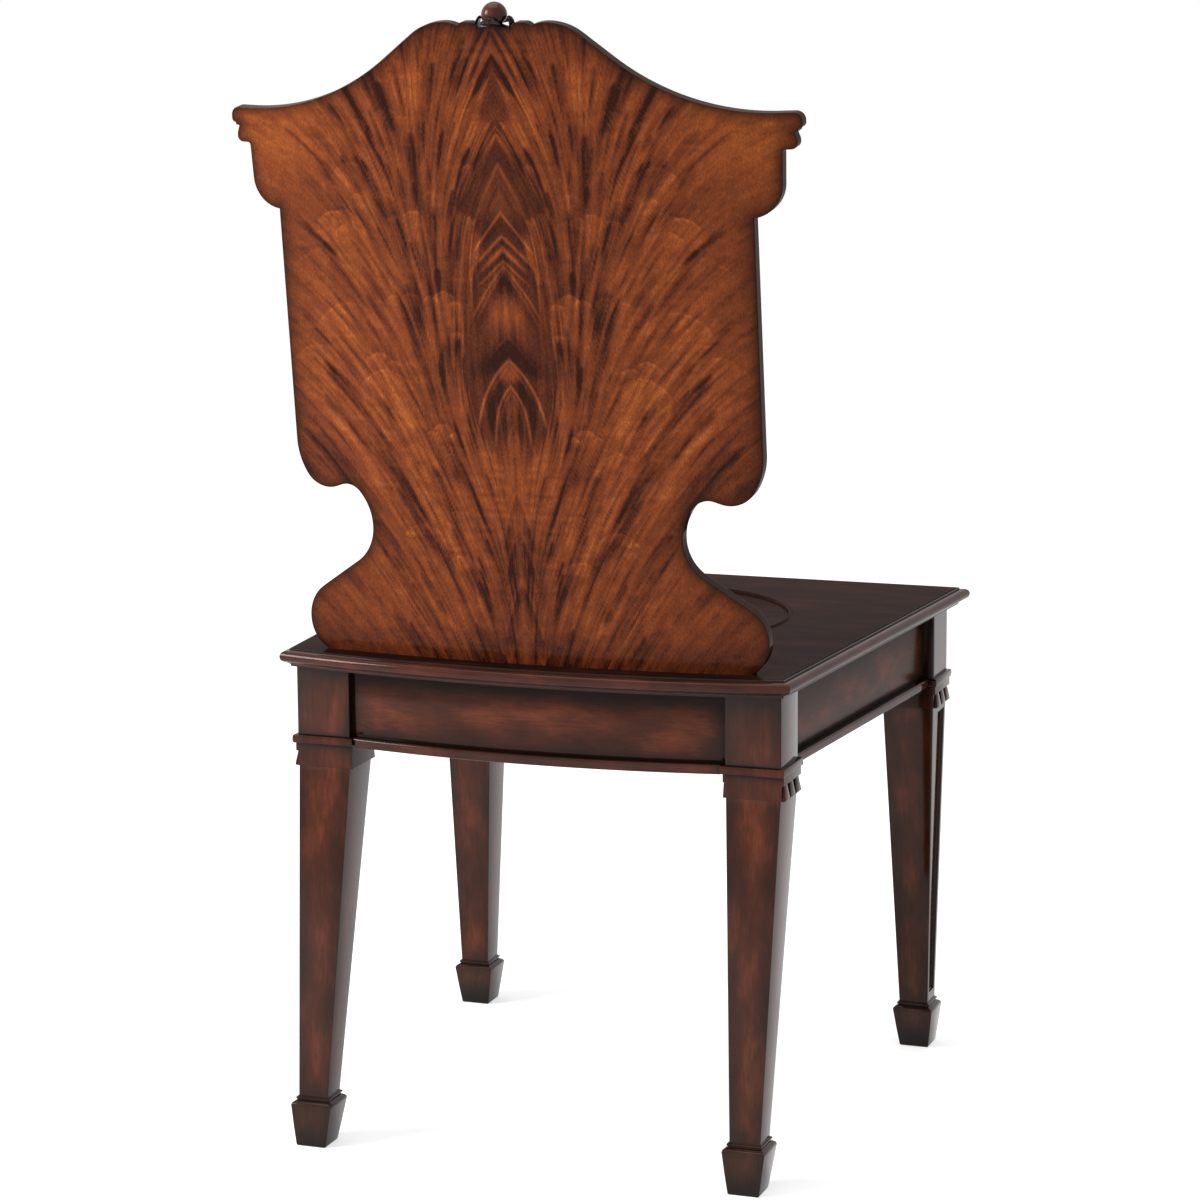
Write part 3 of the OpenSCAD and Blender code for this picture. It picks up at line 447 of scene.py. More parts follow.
MOULDED = dict(tones=("#30150c", "#452014", "#602d1c"), arris_mm=1.2, arris_dark=0.3)
GRAIN_X = mahogany("stained_mahogany_grain_across", "X", coat=0.75)
GRAIN_Y = mahogany("stained_mahogany_grain_front_to_back", "Y", coat=0.42, rough=0.2)
GRAIN_Z = mahogany("stained_mahogany_grain_upright", "Z")
MOULDED_X = mahogany("moulded_mahogany_grain_across", "X", **MOULDED)
MOULDED_Y = mahogany("moulded_mahogany_grain_front_to_back", "Y", coat=0.7, **MOULDED)
MOULDED_Z = mahogany("moulded_mahogany_grain_upright", "Z", coat=0.8, **MOULDED)
SPADE_WOOD = mahogany("dark_mahogany_of_the_feet", "Z", ("#2c1810", "#442419", "#5a3423"),
                      arris_mm=22.0, arris_dark=0.55)
BACK_EDGE = mahogany("dark_mahogany_edge_of_the_back", "Z", ("#24110b", "#351a10", "#4a2415"),
                     arris_mm=1.2, arris_dark=0.3, coat=0.3)
SEAT_TOP = mahogany("waxed_mahogany_seat", "X", ("#1f0f0c", "#291510", "#3a1c15"), antiquing_and_shade=0.3,
                    arris_mm=1.5, arris_dark=0.4, coat=0.1, rough=0.22)
CARVED = mahogany("carved_mahogany", "Z", ("#34170e", "#4c2216", "#65301d"), antiquing_and_shade=0.95,
                  arris_mm=0.6, arris_dark=0.2)
# Carved leaves in darker tones all over than the ball's carving
LEAF_WOOD = mahogany("darker_carved_leaves", "Z", ("#1c0e0a", "#2a1510", "#3d2018"),
                     antiquing_and_shade=0.97, arris_mm=0.5, arris_dark=0.0)
FLAME = flame_veneer()
BEECH = sawn_beech()
STEEL = turned_steel()


# ---------------------------------------------------------------- mesh helpers

SIDES = ((1, "left"), (-1, "right"))


def new_object(name, data):
    """Adds an object to the scene."""
    thing = bpy.data.objects.new(name, data)
    bpy.context.scene.collection.objects.link(thing)
    return thing


def new_mesh(name, shape):
    """Turns a bmesh into a mesh."""
    mesh = bpy.data.meshes.new(name)
    shape.to_mesh(mesh)
    shape.free()
    return mesh


def evaluated(holder):
    """A plain mesh of what an object's modifiers make of it; the object itself goes."""
    depsgraph = bpy.context.evaluated_depsgraph_get()
    result = bpy.data.meshes.new_from_object(holder.evaluated_get(depsgraph))
    bpy.data.objects.remove(holder)
    shape = bmesh.new()
    shape.from_mesh(result)
    bpy.data.meshes.remove(result)
    return shape


def finish_piece(name, shape, material, node, slot="mahogany", smooth=32):
    """Turns a bmesh in metres into a finished piece that stands for its CAD node."""
    bmesh.ops.remove_doubles(shape, verts=shape.verts, dist=1e-6)
    bmesh.ops.recalc_face_normals(shape, faces=shape.faces)
    mesh = new_mesh(name, shape)
    mesh.shade_smooth()
    mesh.set_sharp_from_angle(angle=math.radians(smooth))
    mesh.materials.append(material)
    piece = new_object(name, mesh)
    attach(piece, "root")
    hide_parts(node)


def join(shape, rows):
    """Quads between neighbouring closed rows of equally many vertices."""
    for a, b in zip(rows, rows[1:]):
        for i in range(len(a)):
            shape.faces.new((a[i - 1], a[i], b[i], b[i - 1]))


def loft(shape, rings, caps=True):
    """Quads through closed rings of points in millimetres, with capped ends."""
    rows = [[shape.verts.new(Vector(p) * MM) for p in ring] for ring in rings]
    join(shape, rows)
    if caps:
        shape.faces.new(rows[0])
        shape.faces.new(rows[-1][::-1])


def lofted(name, rings, material, node, side=1, trim=0, **options):
    """A piece lofted through rings at the left of the chair, or mirrored to its right.

    trim is how far from the middle its ends are cut square, where they are."""
    shape = bmesh.new()
    loft(shape, [[(x * side, y, z) for x, y, z in ring] for ring in rings])
    for way in (-1, 1) if trim else ():
        cut = bmesh.ops.bisect_plane(shape, geom=shape.verts[:] + shape.edges[:] + shape.faces[:],
                                     plane_co=(way * trim * MM, 0, 0), plane_no=(way, 0, 0),
                                     clear_outer=True)
        bmesh.ops.edgeloop_fill(shape, edges=[e for e in cut["geom_cut"]
                                              if isinstance(e, bmesh.types.BMEdge)])
    finish_piece(name, shape, material, node, **options)


# Steps down into a sunk panel: distance in from its edge, and share of its full depth
PANEL_STEPS = ((0.0, 0.0), (0.4, 0.5), (1.7, 0.54), (2.1, 1.0))


def section(x0, x1, y0, y1, z, r=ARRIS, panels=(None,) * 4):
    """Rectangle with eased corners at height z.

    panels holds, for the faces on +x, +y, -x and -y, None or how far down a sunk panel's steps
    this height is, from 0 to 1."""
    centre = Vector(((x0 + x1) / 2, (y0 + y1) / 2))
    half = ((x1 - x0) / 2, (y1 - y0) / 2)
    ring = []
    for k, sunk in enumerate(panels):
        out = Vector(((1, 0), (0, 1), (-1, 0), (0, -1))[k])
        way = Vector((-out.y, out.x))
        reach, width = half[k % 2], half[1 - k % 2]
        turns = [(r * math.cos(a) - r, r * math.sin(a)) for a in np.radians((-45, -22.5, 0, 22.5))]
        points = [(reach + u, r - width + v) for u, v in turns[:3]]
        if sunk is not None:
            flat = width - PANEL_BORDER
            steps = [(t - flat, min(d, sunk)) for t, d in PANEL_STEPS]
            steps += [(-t, d) for t, d in reversed(steps)]
            points += [(reach - d * PANEL_SINK, t) for t, d in steps]
        points += [(reach + u, width - r + v) for u, v in turns[2:]]
        ring += [centre + out * u + way * v for u, v in points]
    return [(p.x, p.y, z) for p in ring]


# ---------------------------------------------------------------- copies of one shape

def copies_tree():
    """Geometry nodes that put a copy of Source at each point, turned as the point says."""
    tree = bpy.data.node_groups.new("placed_copies", "GeometryNodeTree")
    tree.interface.new_socket("Geometry", in_out="OUTPUT", socket_type="NodeSocketGeometry")
    for label, kind in (("Points", "Geometry"), ("Source", "Object"), ("Finish", "Material")):
        tree.interface.new_socket(label, in_out="INPUT", socket_type=f"NodeSocket{kind}")
    given = add(tree, "NodeGroupInput", out=None).outputs
    turn = add(tree, "GeometryNodeInputNamedAttribute", {"Name": "turn"},
               data_type="FLOAT_VECTOR")
    source = add(tree, "GeometryNodeObjectInfo", {"Object": given["Source"]}, out="Geometry")
    copies = add(tree, "GeometryNodeInstanceOnPoints", {
        "Points": given["Points"], "Instance": source, "Rotation": turn})
    solid = add(tree, "GeometryNodeRealizeInstances", {0: copies})
    dressed = add(tree, "GeometryNodeSetMaterial", {"Geometry": solid,
                                                    "Material": given["Finish"]})
    add(tree, "NodeGroupOutput", {0: dressed})
    return tree


COPIES = copies_tree()


def copied(name, source, places, material, node, **options):
    """A piece of copies of one shape at (place in millimetres, angles), by geometry nodes."""
    mesh = bpy.data.meshes.new(name)
    mesh.from_pydata([Vector(at) * MM for at, _ in places], [], [])
    turns = mesh.attributes.new("turn", "FLOAT_VECTOR", "POINT")
    for item, (_, turn) in zip(turns.data, places):
        item.vector = turn
    model = new_object("source", new_mesh("source", source))
    holder = new_object(name, mesh)
    modifier = holder.modifiers.new("copies", "NODES")
    modifier.node_group = COPIES
    values = {"Source": model, "Finish": material}
    for item in COPIES.interface.items_tree:
        if item.in_out == "INPUT" and item.name in values:
            modifier[item.identifier] = values[item.name]
    shape = evaluated(holder)
    bpy.data.objects.remove(model)
    finish_piece(name, shape, material, node, **options)


# ---------------------------------------------------------------- legs

def shaft_half(z):
    """Half the side of the shaft at height z."""
    t = (z - SPADE_H) / (COLLAR_LOW - SPADE_H)
    return (SHAFT_LOW_W + (SHAFT_TOP_W - SHAFT_LOW_W) * t) / 2


def square_at(at, kick, half, z, r=ARRIS, panels=(None,) * 4):
    """Square section of a leg at height z, moved from its block as far as its kick asks."""
    c = at + kick * (1 - min(z, COLLAR_LOW) / COLLAR_LOW)
    return section(c.x - half, c.x + half, c.y - half, c.y + half, z, r, panels)


def leg_rings(at, kick, faces):
    """Sections of a leg from its spade foot up to the seat; faces says which ones are sunk."""
    def sunk(share):
        return tuple(share if f else None for f in faces)

    low_z, high_z = SPADE_H + 9, COLLAR_LOW - 7
    levels = [(SPADE_H, 0)] + [(low_z + t, d) for t, d in PANEL_STEPS]
    levels += [(low_z + (high_z - low_z) * k / 12, 1) for k in range(1, 12)]
    levels += [(high_z - t, d) for t, d in reversed(PANEL_STEPS)] + [(COLLAR_LOW, 0)]
    rings = [square_at(at, kick, shaft_half(z), z, panels=sunk(d)) for z, d in levels]
    rings.append(square_at(at, kick, SHAFT_TOP_W / 2, COLLAR_TOP - 0.2, panels=sunk(0)))
    return rings + [square_at(at, kick, BLOCK_W / 2, z, 1.0, sunk(0))
                    for z in (COLLAR_TOP - 0.1, COLLAR_TOP + 8, SEAT_LOW)]


def spade_levels():
    """Half width and height of the spade foot and its neck, from the sole up."""
    sole, widest, neck = SOLE_W / 2, SPADE_W / 2, SHAFT_LOW_W / 2
    top = SPADE_H - 7.4
    out = widest - neck
    return [(sole - 0.8, 0), (sole, 0.9), (sole + 2.4, 17), (widest - 0.2, top - 1.8),
            (widest, top - 0.7), (widest, top), (widest - 0.04 * out, top + 0.5),
            (widest - 0.1 * out, top + 1.4), (widest - 0.3 * out, top + 2.2),
            (neck + 0.45 * out, top + 2.9), (neck + 1.2, top + 3.5), (neck + 0.9, top + 3.7),
            (neck + 0.9, top + 4.3), (neck + 1.5, top + 4.5), (neck + 1.95, top + 5.1),
            (neck + 2.0, top + 5.5), (neck + 1.8, top + 6.1), (neck + 1.2, top + 6.5),
            (neck + 0.6, top + 6.6), (neck + 0.5, top + 7.1), (neck + 0.05, SPADE_H)]


# ---------------------------------------------------------------- collars and guttae

FASCIA_LOW = COLLAR_TOP - BEAD_H - FASCIA_H
BEAD_LOW = COLLAR_TOP - BEAD_H
BLOCK_STEP = (BLOCK_W - SHAFT_TOP_W) / 2
BEAD_ROUND = 1.2
GUTTA_PITCH = SHAFT_TOP_W / GUTTA_COUNT
GUTTA_TOP_SHARE, GUTTA_FOOT_SHARE = 0.57, 0.93


def collar_levels(kind):
    """How far one face of a collar stands out from the shaft, by height, from the bottom up."""
    bed = {"guttae": (BED_OUT, BED_OUT), "steps": (FASCIA_OUT - 0.2, FASCIA_OUT - 1),
           "plain": (0.05, 0.05)}[kind]
    band = 0.05 if kind == "plain" else FASCIA_OUT
    out = BLOCK_STEP + BEAD_OUT
    low_round, high_round = (
        curve(out - BEAD_ROUND - 0.2, z, BEAD_ROUND, BEAD_ROUND, start, start + 90, 4)
        for z, start in ((BEAD_LOW + BEAD_ROUND, -90), (COLLAR_TOP - BEAD_ROUND, 0)))
    return ([(0, COLLAR_LOW), (max(bed[0] - 0.3, 0.04), COLLAR_LOW), (bed[0], COLLAR_LOW + 0.3),
             (bed[1], FASCIA_LOW - 0.05), (max(band - 0.3, 0.05), FASCIA_LOW),
             (band, FASCIA_LOW + 0.3), (band, BEAD_LOW - 0.3), (max(band - 0.2, 0.05), BEAD_LOW)]
            + low_round + [(out, (BEAD_LOW + COLLAR_TOP) / 2)] + high_round + [(0, COLLAR_TOP)])


def collar_rings(at, kinds):
    """Sections of a collar; kinds name its faces on +x, +y, -x and -y."""
    h = SHAFT_TOP_W / 2
    return [section(at.x - h - nx[0], at.x + h + px[0], at.y - h - ny[0], at.y + h + py[0],
                    px[1], 0.4) for px, py, nx, ny in zip(*map(collar_levels, kinds))]


def gutta_shape():
    """One hanging drop: a wedge that flares downwards, its front edges eased."""
    shape = bmesh.new()
    rings = []
    for t, out in ((0, BED_OUT + 1.1), (0.04, BED_OUT + 1.3), (0.9, GUTTA_OUT),
                   (0.95, GUTTA_OUT - 0.1), (1.0, GUTTA_OUT - 0.7)):
        z = FASCIA_LOW + (COLLAR_LOW - FASCIA_LOW) * t
        share = GUTTA_TOP_SHARE + (GUTTA_FOOT_SHARE - GUTTA_TOP_SHARE) * t
        width = GUTTA_PITCH * share / 2
        ease = min(0.7, (out - BED_OUT) * 0.5)
        edge = [(BED_OUT, width), (out - ease, width), (out - 0.3 * ease, width - 0.3 * ease),
                (out, width - ease)]
        rings.append([(x, -y, z) for x, y in edge] + [(x, y, z) for x, y in reversed(edge)])
    loft(shape, rings)
    bmesh.ops.recalc_face_normals(shape, faces=shape.faces)
    return shape


def gutta_places(at, side, faces):
    """Where a leg's drops hang on the faces that look in given directions, and their turns."""
    places = []
    for out in map(Vector, faces):
        for k in range(GUTTA_COUNT):
            along = Vector((-out.y, out.x)) * GUTTA_PITCH * (k - (GUTTA_COUNT - 1) / 2)
            spot = at + out * SHAFT_TOP_W / 2 + along
            places.append(((side * spot.x, spot.y, 0), (0, 0, math.atan2(out.y, side * out.x))))
    return places


# Sunk faces, and kinds of collar faces, go round by +x, +y, -x and -y; drops by direction
for row, at, kick, sunk_faces, kinds, drops in (
        ("front", FRONT_AT, FRONT_KICK, (1, 0, 0, 1), ("guttae", "steps", "steps", "guttae"),
         ((1, 0), (0, -1))),
        ("rear", REAR_AT, REAR_KICK, (0, 0, 0, 0), ("guttae", "plain", "steps", "steps"),
         ((1, 0),))):
    for side, hand in SIDES:
        lofted(f"{row}_leg_{hand}", leg_rings(at, kick, sunk_faces), GRAIN_Z,
               f"leg_{row}_{hand}", side)
        lofted(f"{row}_spade_foot_{hand}",
               [square_at(at, kick, half, z) for half, z in spade_levels()], SPADE_WOOD,
               f"spade_{row}_{hand}", side)
        lofted(f"{row}_collar_{hand}", collar_rings(at, kinds), MOULDED_Z,
               f"collar_{row}_{hand}", side)
        copied(f"{row}_guttae_{hand}", gutta_shape(), gutta_places(at, side, drops), MOULDED_Z,
               f"guttae_{row}_{hand}")


# ---------------------------------------------------------------- rails and their beads

def rail_profile(r=0.5):
    """Rail section, outwards and up, with its long edges eased."""
    height = SEAT_LOW - RAIL_LOW
    outer = [(-RAIL_T, 0), (-r, 0), (-0.3 * r, 0.3 * r), (0, r)]
    return [Vector(p) for p in outer + [(x, height - y) for x, y in reversed(outer)]]


RAIL_PROFILE = rail_profile()
STRIP_PROFILE = [p + Vector((-RAIL_T, 0)) for p in strip_profile(RAIL_T + STRIP_OUT)]
STRIP_GAP = BEAD_OUT + 0.3
RAIL_FRONT_PT = FRONT_AT + Vector((BLOCK_W / 2 - RAIL_SET, BLOCK_W / 2))
RAIL_REAR_PT = REAR_AT + Vector((BLOCK_W / 2 - RAIL_SET, -BLOCK_W / 2))
RAIL_WAY = (RAIL_REAR_PT - RAIL_FRONT_PT).normalized()
RAIL_OUT = Vector((RAIL_WAY.y, -RAIL_WAY.x))
# Pieces round the seat: edge, last word of the CAD node's name, side, steps along the edge
EDGES = (("front", "front", 1, 8), ("rear", "rear", 1, 48), ("side", "left", 1, 8),
         ("side", "right", -1, 8))


def round_the_seat(kind, ring_at, woods, rear_trim=0):
    """Front, rear and side pieces of one kind; woods are for those across and at the sides."""
    for edge, hand, side, count in EDGES:
        name = f"{edge}_{kind}_{hand}" if edge == "side" else f"{edge}_{kind}"
        lofted(name, [ring_at(edge, k / count) for k in range(count + 1)],
               woods[edge == "side"], f"{kind}_{hand}", side, rear_trim * (edge == "rear"))


# Half the angle of the rear bow that its rail is swept over, a little past the blocks
RAIL_SWING = math.asin(RAIL_END / RAIL_R) * 1.05


def rail_ring(profile, inset, z0, edge, t):
    """Section of a rail or its bead at a share t of the way along, cut inset from the blocks."""
    ring = []
    for p in profile:
        if edge == "front":
            x, y = (FRONT_AT.x - BLOCK_W / 2 - inset) * (2 * t - 1), FRONT_RAIL_Y - p.x
        elif edge == "side":
            y = RAIL_FRONT_PT.y + inset + (RAIL_REAR_PT.y - RAIL_FRONT_PT.y - 2 * inset) * t
            base = RAIL_FRONT_PT + RAIL_OUT * p.x
            x, y = base + RAIL_WAY * ((y - base.y) / RAIL_WAY.y)
        else:
            r, a = RAIL_R + p.x, RAIL_SWING * (1 - 2 * t)
            x, y = r * math.sin(a), RAIL_CY + r * math.cos(a)
        ring.append((x, y, z0 + p.y))
    return ring


for kind, profile, inset, z0, woods in (
        ("rail", RAIL_PROFILE, 0, RAIL_LOW, (GRAIN_X, GRAIN_Y)),
        ("rail_bead", STRIP_PROFILE, STRIP_GAP, RAIL_LOW - STRIP_H, (MOULDED_X, MOULDED_Y))):
    round_the_seat(kind, partial(rail_ring, profile, inset, z0), woods, RAIL_END - inset)


# ---------------------------------------------------------------- seat

def side_at(y, inset=0.0):
    """Half width of the seat at depth y, moved in from its edge."""
    return SEAT_FRONT_W / 2 - (y - SEAT_FRONT_Y) * math.tan(SPLAY) - inset / math.cos(SPLAY)


def rear_corner(inset):
    """Where the side and the rear bow of the seat meet, moved in from the edge."""
    y = REAR_Y
    for _ in range(6):
        y = math.sqrt((SEAT_R - inset) ** 2 - side_at(y, inset) ** 2) + SEAT_CY
    return Vector((side_at(y, inset), y))


def front_corner(inset):
    """Front left corner of the seat, moved in from the edge."""
    y = SEAT_FRONT_Y + inset
    return Vector((side_at(y, inset), y))


PROFILE = seat_profile()


def moulding_ring(edge, t):
    """Section of the seat moulding of one edge, at a share t of the way along it."""
    ring = []
    for p in PROFILE:
        inset = MOULD_W - p.x
        front, rear = front_corner(inset), rear_corner(inset)
        if edge == "front":
            x, y = front.x * (1 - 2 * t), front.y
        elif edge == "side":
            x, y = front.lerp(rear, t)
        else:
            a = math.atan2(rear.x, rear.y - SEAT_CY) * (1 - 2 * t)
            x, y = (SEAT_R - inset) * math.sin(a), SEAT_CY + (SEAT_R - inset) * math.cos(a)
        ring.append((x, y, SEAT_H + p.y))
    return ring


round_the_seat("seat_moulding", moulding_ring, (MOULDED_X, MOULDED_Y))


def seat_edge(count=60, steps=40):
    """Outline of the seat board inside its mouldings, anticlockwise from the front left."""
    inner = [front_corner(MOULD_W), rear_corner(MOULD_W)]
    a = math.atan2(inner[1].x, inner[1].y - SEAT_CY)
    r = SEAT_R - MOULD_W
    bow = [Vector((r * math.sin(t), SEAT_CY + r * math.cos(t)))
           for t in (a * (1 - 2 * k / count) for k in range(count + 1))]
    side = [inner[0].lerp(bow[0], k / steps) for k in range(steps)]
    other = [Vector((-p.x, p.y)) for p in reversed(side)]
    front = [other[-1].lerp(side[0], k / steps) for k in range(1, steps)]
    return side + bow + other + front


def well_levels():
    """Radius and depth of the dished well from its crisp rim to its middle."""
    rim = [(WELL_R + 4.0, 0), (WELL_R + 3.5, 0.6), (WELL_R + 2.5, 1.1), (WELL_R + 1.4, 1.1),
           (WELL_R + 0.5, 0.6), (WELL_R, -0.2), (WELL_R - 0.2, -0.8), (WELL_R - 0.4, -1.6)]
    cove = [(WELL_R * (0.55 + 0.45 * math.cos(math.radians(a))),
             -WELL_DEPTH * math.sin(math.radians(a))) for a in range(20, 91, 7)]
    return rim + cove + [(WELL_R * share, -WELL_DEPTH) for share in (0.4, 0.2, 0.05)]


edge = seat_edge()
centre = Vector((0, WELL_Y))
spokes = [(p - centre).normalized() for p in edge]
rings = [[(*p, z) for p in edge] for z in (SEAT_LOW, SEAT_H)]
rings += [[(*e.lerp(centre + s * WELL_R, t), SEAT_H) for e, s in zip(edge, spokes)]
          for t in (0.02, 0.5)]
rings += [[(*(centre + s * r), SEAT_H + z) for s in spokes] for r, z in well_levels()]
lofted("seat", rings, SEAT_TOP, "seat_board", smooth=24)


# ---------------------------------------------------------------- the flame figure

# Lean of the fibres from upright, in degrees, by distance from the seam in millimetres: at the
# neck, half way up, where they fall over at the sides like a fountain, and under the crest
NECK_LEAN = ((0, 12, 25, 60, 90, 130, 165, 200, 240), (0, 8, 18, 24, 31, 36, 40, 50, 60))
MIDDLE_LEAN = ((0, 45, 60, 72, 92, 115, 138, 158, 178, 200, 240),
               (0, -4, 2, 12, 25, 32, 39, 45, 50, 56, 66))
CREST_LEAN = ((0, 15, 40, 60, 80, 110, 150, 190, 240), (-30, -28, -20, -6, 8, 24, 40, 56, 70))
FLAME_SEED = 23

# Dark streaks, given one by one: foot (from the seam, up the back), length, width and depth of
# tone
BOLD_STREAKS = (
    (44, 182, 150, 4.5, .5), (52, 175, 120, 3, .3), (62, 208, 118, 6, .45), (73, 276, 52, 9, .55),
    (70, 318, 46, 4, .4), (60, 330, 60, 4, .35), (83, 345, 55, 7, .5), (72, 392, 60, 8, .55),
    (97, 322, 52, 5, .35), (110, 176, 100, 9, .6), (78, 205, 95, 7, .45), (96, 262, 60, 6, .35),
    (120, 215, 62, 7, .5), (64, 362, 40, 5, .4), (58, 300, 40, 4, .35), (48, 372, 34, 6, .45),
    (66, 425, 50, 5, .35), (40, 400, 44, 6, .45), (56, 405, 50, 5, .35), (95, 400, 60, 7, .45),
    (110, 352, 50, 5, .35), (126, 352, 42, 5, .3), (146, 338, 26, 5, .4), (118, 392, 45, 8, .4),
    (88, 440, 55, 8, .5), (108, 438, 60, 9, .5), (60, 455, 55, 6, .4), (40, 470, 50, 6, .4),
    (22, 470, 50, 7, .4), (8, 490, 45, 6, .35), (30, 120, 80, 4, .4), (22, 100, 70, 3.5, .4),
    (45, 120, 90, 4, .35), (70, 95, 90, 6, .45), (60, 60, 100, 5, .4), (100, 70, 60, 8, .3),
    (85, 30, 80, 6, .35), (140, 40, 50, 10, .25), (120, 20, 60, 8, .22), (40, 20, 100, 5, .4),
    (18, 10, 90, 4, .35), (165, 20, 40, 9, .16), (150, 250, 45, 6, .25), (135, 180, 60, 6, .3))

# Pointed arches of the heart: apex, half width, drop, foot, thickness, gain (light +, dark -)
ARCHES = (
    (541, 160, 300, 478, 1.6, .2), (534, 160, 300, 480, 8, -.16), (520, 160, 290, 486, 2.2, .16),
    (510, 160, 300, 490, 4, -.12), (457, 75, 100, 392, 1.1, .26), (451, 75, 100, 396, 1.0, .16),
    (426, 120, 230, 376, 1.6, .3), (419, 120, 230, 384, 1.2, .14),
    (386, 160, 190, 350, 1.2, .44), (378, 160, 190, 352, 5, -.1), (367, 160, 150, 338, 1.3, .42),
    (362, 160, 150, 343, 2.6, -.16), (356.5, 160, 150, 334, 2.0, .42),
    (351, 160, 150, 332, 2.4, -.18), (346, 150, 130, 322, 1.0, .36),
    (341.5, 70, 80, 296, 1.2, .36), (337.5, 66, 84, 290, 1.0, .2),
    (331, 62, 84, 290, 5, -.2), (283, 160, 165, 250, 1.2, .12),
    (275, 160, 150, 246, 7, -.34), (263, 36, 32, 203, 1.3, .5), (258.5, 31, 33, 234, 1.6, .2),
    (252, 22, 28, 240, 4.5, .26), (254, 30, 33, 212, 2.6, -.16), (240.5, 16.5, 17, 186, 1.3, .46),
    (235, 13.5, 17, 206, 1.0, .2), (247, 22, 22, 200, 3.2, -.16), (206, 6, 9, 184, 1.2, .2),
    (152, 26, 60, 96, 1.3, .14), (144, 26, 60, 92, 3, -.14), (120, 28, 60, 66, 1.2, .14),
    (112, 28, 60, 62, 3.4, -.16), (74, 34, 70, 18, 1.3, .14), (64, 34, 70, 10, 4, -.16),
    (36, 38, 70, -10, 1.3, .12))

# Scalloped tops of the feathers: middle, height, half width, light of the edge
SCALLOPS = ((55, 319, 9, .3), (45, 311, 6, .22), (66, 315, 7, .22), (85, 317, 7, .18),
            (100, 314, 8, .16), (78, 386, 8, .2), (66, 383, 6, .16), (94, 381, 8, .14),
            (143, 384, 9, .16), (118, 264, 11, .22), (104, 258, 8, .16), (63, 206, 8, .24),
            (52, 199, 6, .22), (74, 199, 6, .2), (90, 187, 8, .16), (26, 425, 6, .26),
            (45, 285, 6, .18), (128, 398, 7, .14), (60, 402, 8, .16), (142, 306, 26, .17),
            (150, 383, 15, .26), (138, 372, 12, .15), (166, 350, 22, .1), (112, 250, 20, .2),
            (132, 424, 16, .16), (96, 470, 12, .14), (176, 268, 20, .14), (86, 118, 16, .14),
            (52, 92, 14, .12))

# Broad clouds, light (+) or dark (-): gain, middle and width from the seam, and up the back
CLOUDS = ((.12, 150, 50, 255, 60), (.12, 28, 20, 482, 28), (.08, 195, 50, 440, 40),
          (.08, 120, 30, 205, 25), (-.2, 20, 80, 540, 30), (-.12, 168, 22, 395, 34),
          (-.2, 182, 36, 172, 30), (-.1, 55, 30, 300, 130), (-.08, 0, 50, 60, 70),
          (-.12, 190, 30, 22, 30))
BOLD_WIDTH, BOLD_DEPTH = 1.3, 0.8
# How far the figure calms down at the outer sides and in the lower lobes
CALM = 0.7
# Cells of the random fields across and up the back, and the length and steps of their combing:
# hair, streaks and bands along the fibres, then clouds and cross ripples
COMBED = ((1.2, 2.5, 18, 8), (3.0, 7.0, 55, 14), (9.0, 20.0, 80, 14))
UNCOMBED = ((30.0, 40.0), (14.0, 3.5))
# Strewn streaks: pitch up the back, range of gaps across it, then ranges of length and width,
# and of gain for the light ones and the hairlines
STREWN_PITCH, STREWN_GAP = 14, (7, 15)
DARK_STREAK, DEEPEST = ((20, 62), (1.6, 5.5)), 0.4
LIGHT_STREAK, LIGHT_CHANCE = ((20, 45), (1.5, 4.0), (0.04, 0.12)), 0.3
HAIRLINE, HAIRLINES = ((26, 75), (0.7, 1.6), (0.05, 0.24)), 2
SCALLOP_WIDTH, SCALLOP_GAIN = 1.3, 1.3
STREAK_STEPS = 14
# Span of a leaf's random fields across and up the back, and how far below the seat they begin
FIELD_ACROSS, FIELD_UP, FIELD_BELOW = 330, 720, 70

# Half width of the dark heart by height up the back
HEART_EDGE = ((150, 160, 175, 190, 205, 220, 242, 258, 275, 290, 310, 325, 338, 350, 365, 380, 388,
               396, 404, 412, 422, 432, 442, 450, 462, 480, 500, 515, 541),
              (4, 8, 14, 24, 33, 38, 42, 43, 40, 37, 35, 33, 26, 20, 19, 23, 40, 41, 36, 31, 24,
               16, 8, 3, 11, 10, 6, 1, 1))


def soft_step(v, start, end):
    """Smooth rise from 0 at start to 1 at end."""
    t = np.clip((v - start) / (end - start), 0, 1)
    return t * t * (3 - 2 * t)


def hump(v, centre, width):
    """Smooth hump of height 1."""
    return np.exp(-((v - centre) / width) ** 2)


def fibre_lean(a, s):
    """Lean of the fibres from upright, in radians."""
    share = soft_step(s, 150, 290)
    leaning = np.interp(a, *NECK_LEAN) * (1 - share) + np.interp(a, *MIDDLE_LEAN) * share
    share = soft_step(s, 320, 415)
    return np.radians(leaning * (1 - share) + np.interp(a, *CREST_LEAN) * share)


def grain_field(rng, cell_a, cell_s):
    """Smooth random field over the leaf, with cells of a given size in millimetres."""
    n = rng.standard_normal((int(FIELD_UP / cell_s) + 4, int(FIELD_ACROSS / cell_a) + 4))

    def field(a, s):
        u = np.clip(a / cell_a + 1, 0, n.shape[1] - 2.001)
        v = np.clip((s + FIELD_BELOW) / cell_s + 1, 0, n.shape[0] - 2.001)
        i, j = u.astype(int), v.astype(int)
        u, v = u - i, v - j
        u, v = u * u * (3 - 2 * u), v * v * (3 - 2 * v)
        return ((n[j, i] * (1 - u) + n[j, i + 1] * u) * (1 - v)
                + (n[j + 1, i] * (1 - u) + n[j + 1, i + 1] * u) * v)
    return field


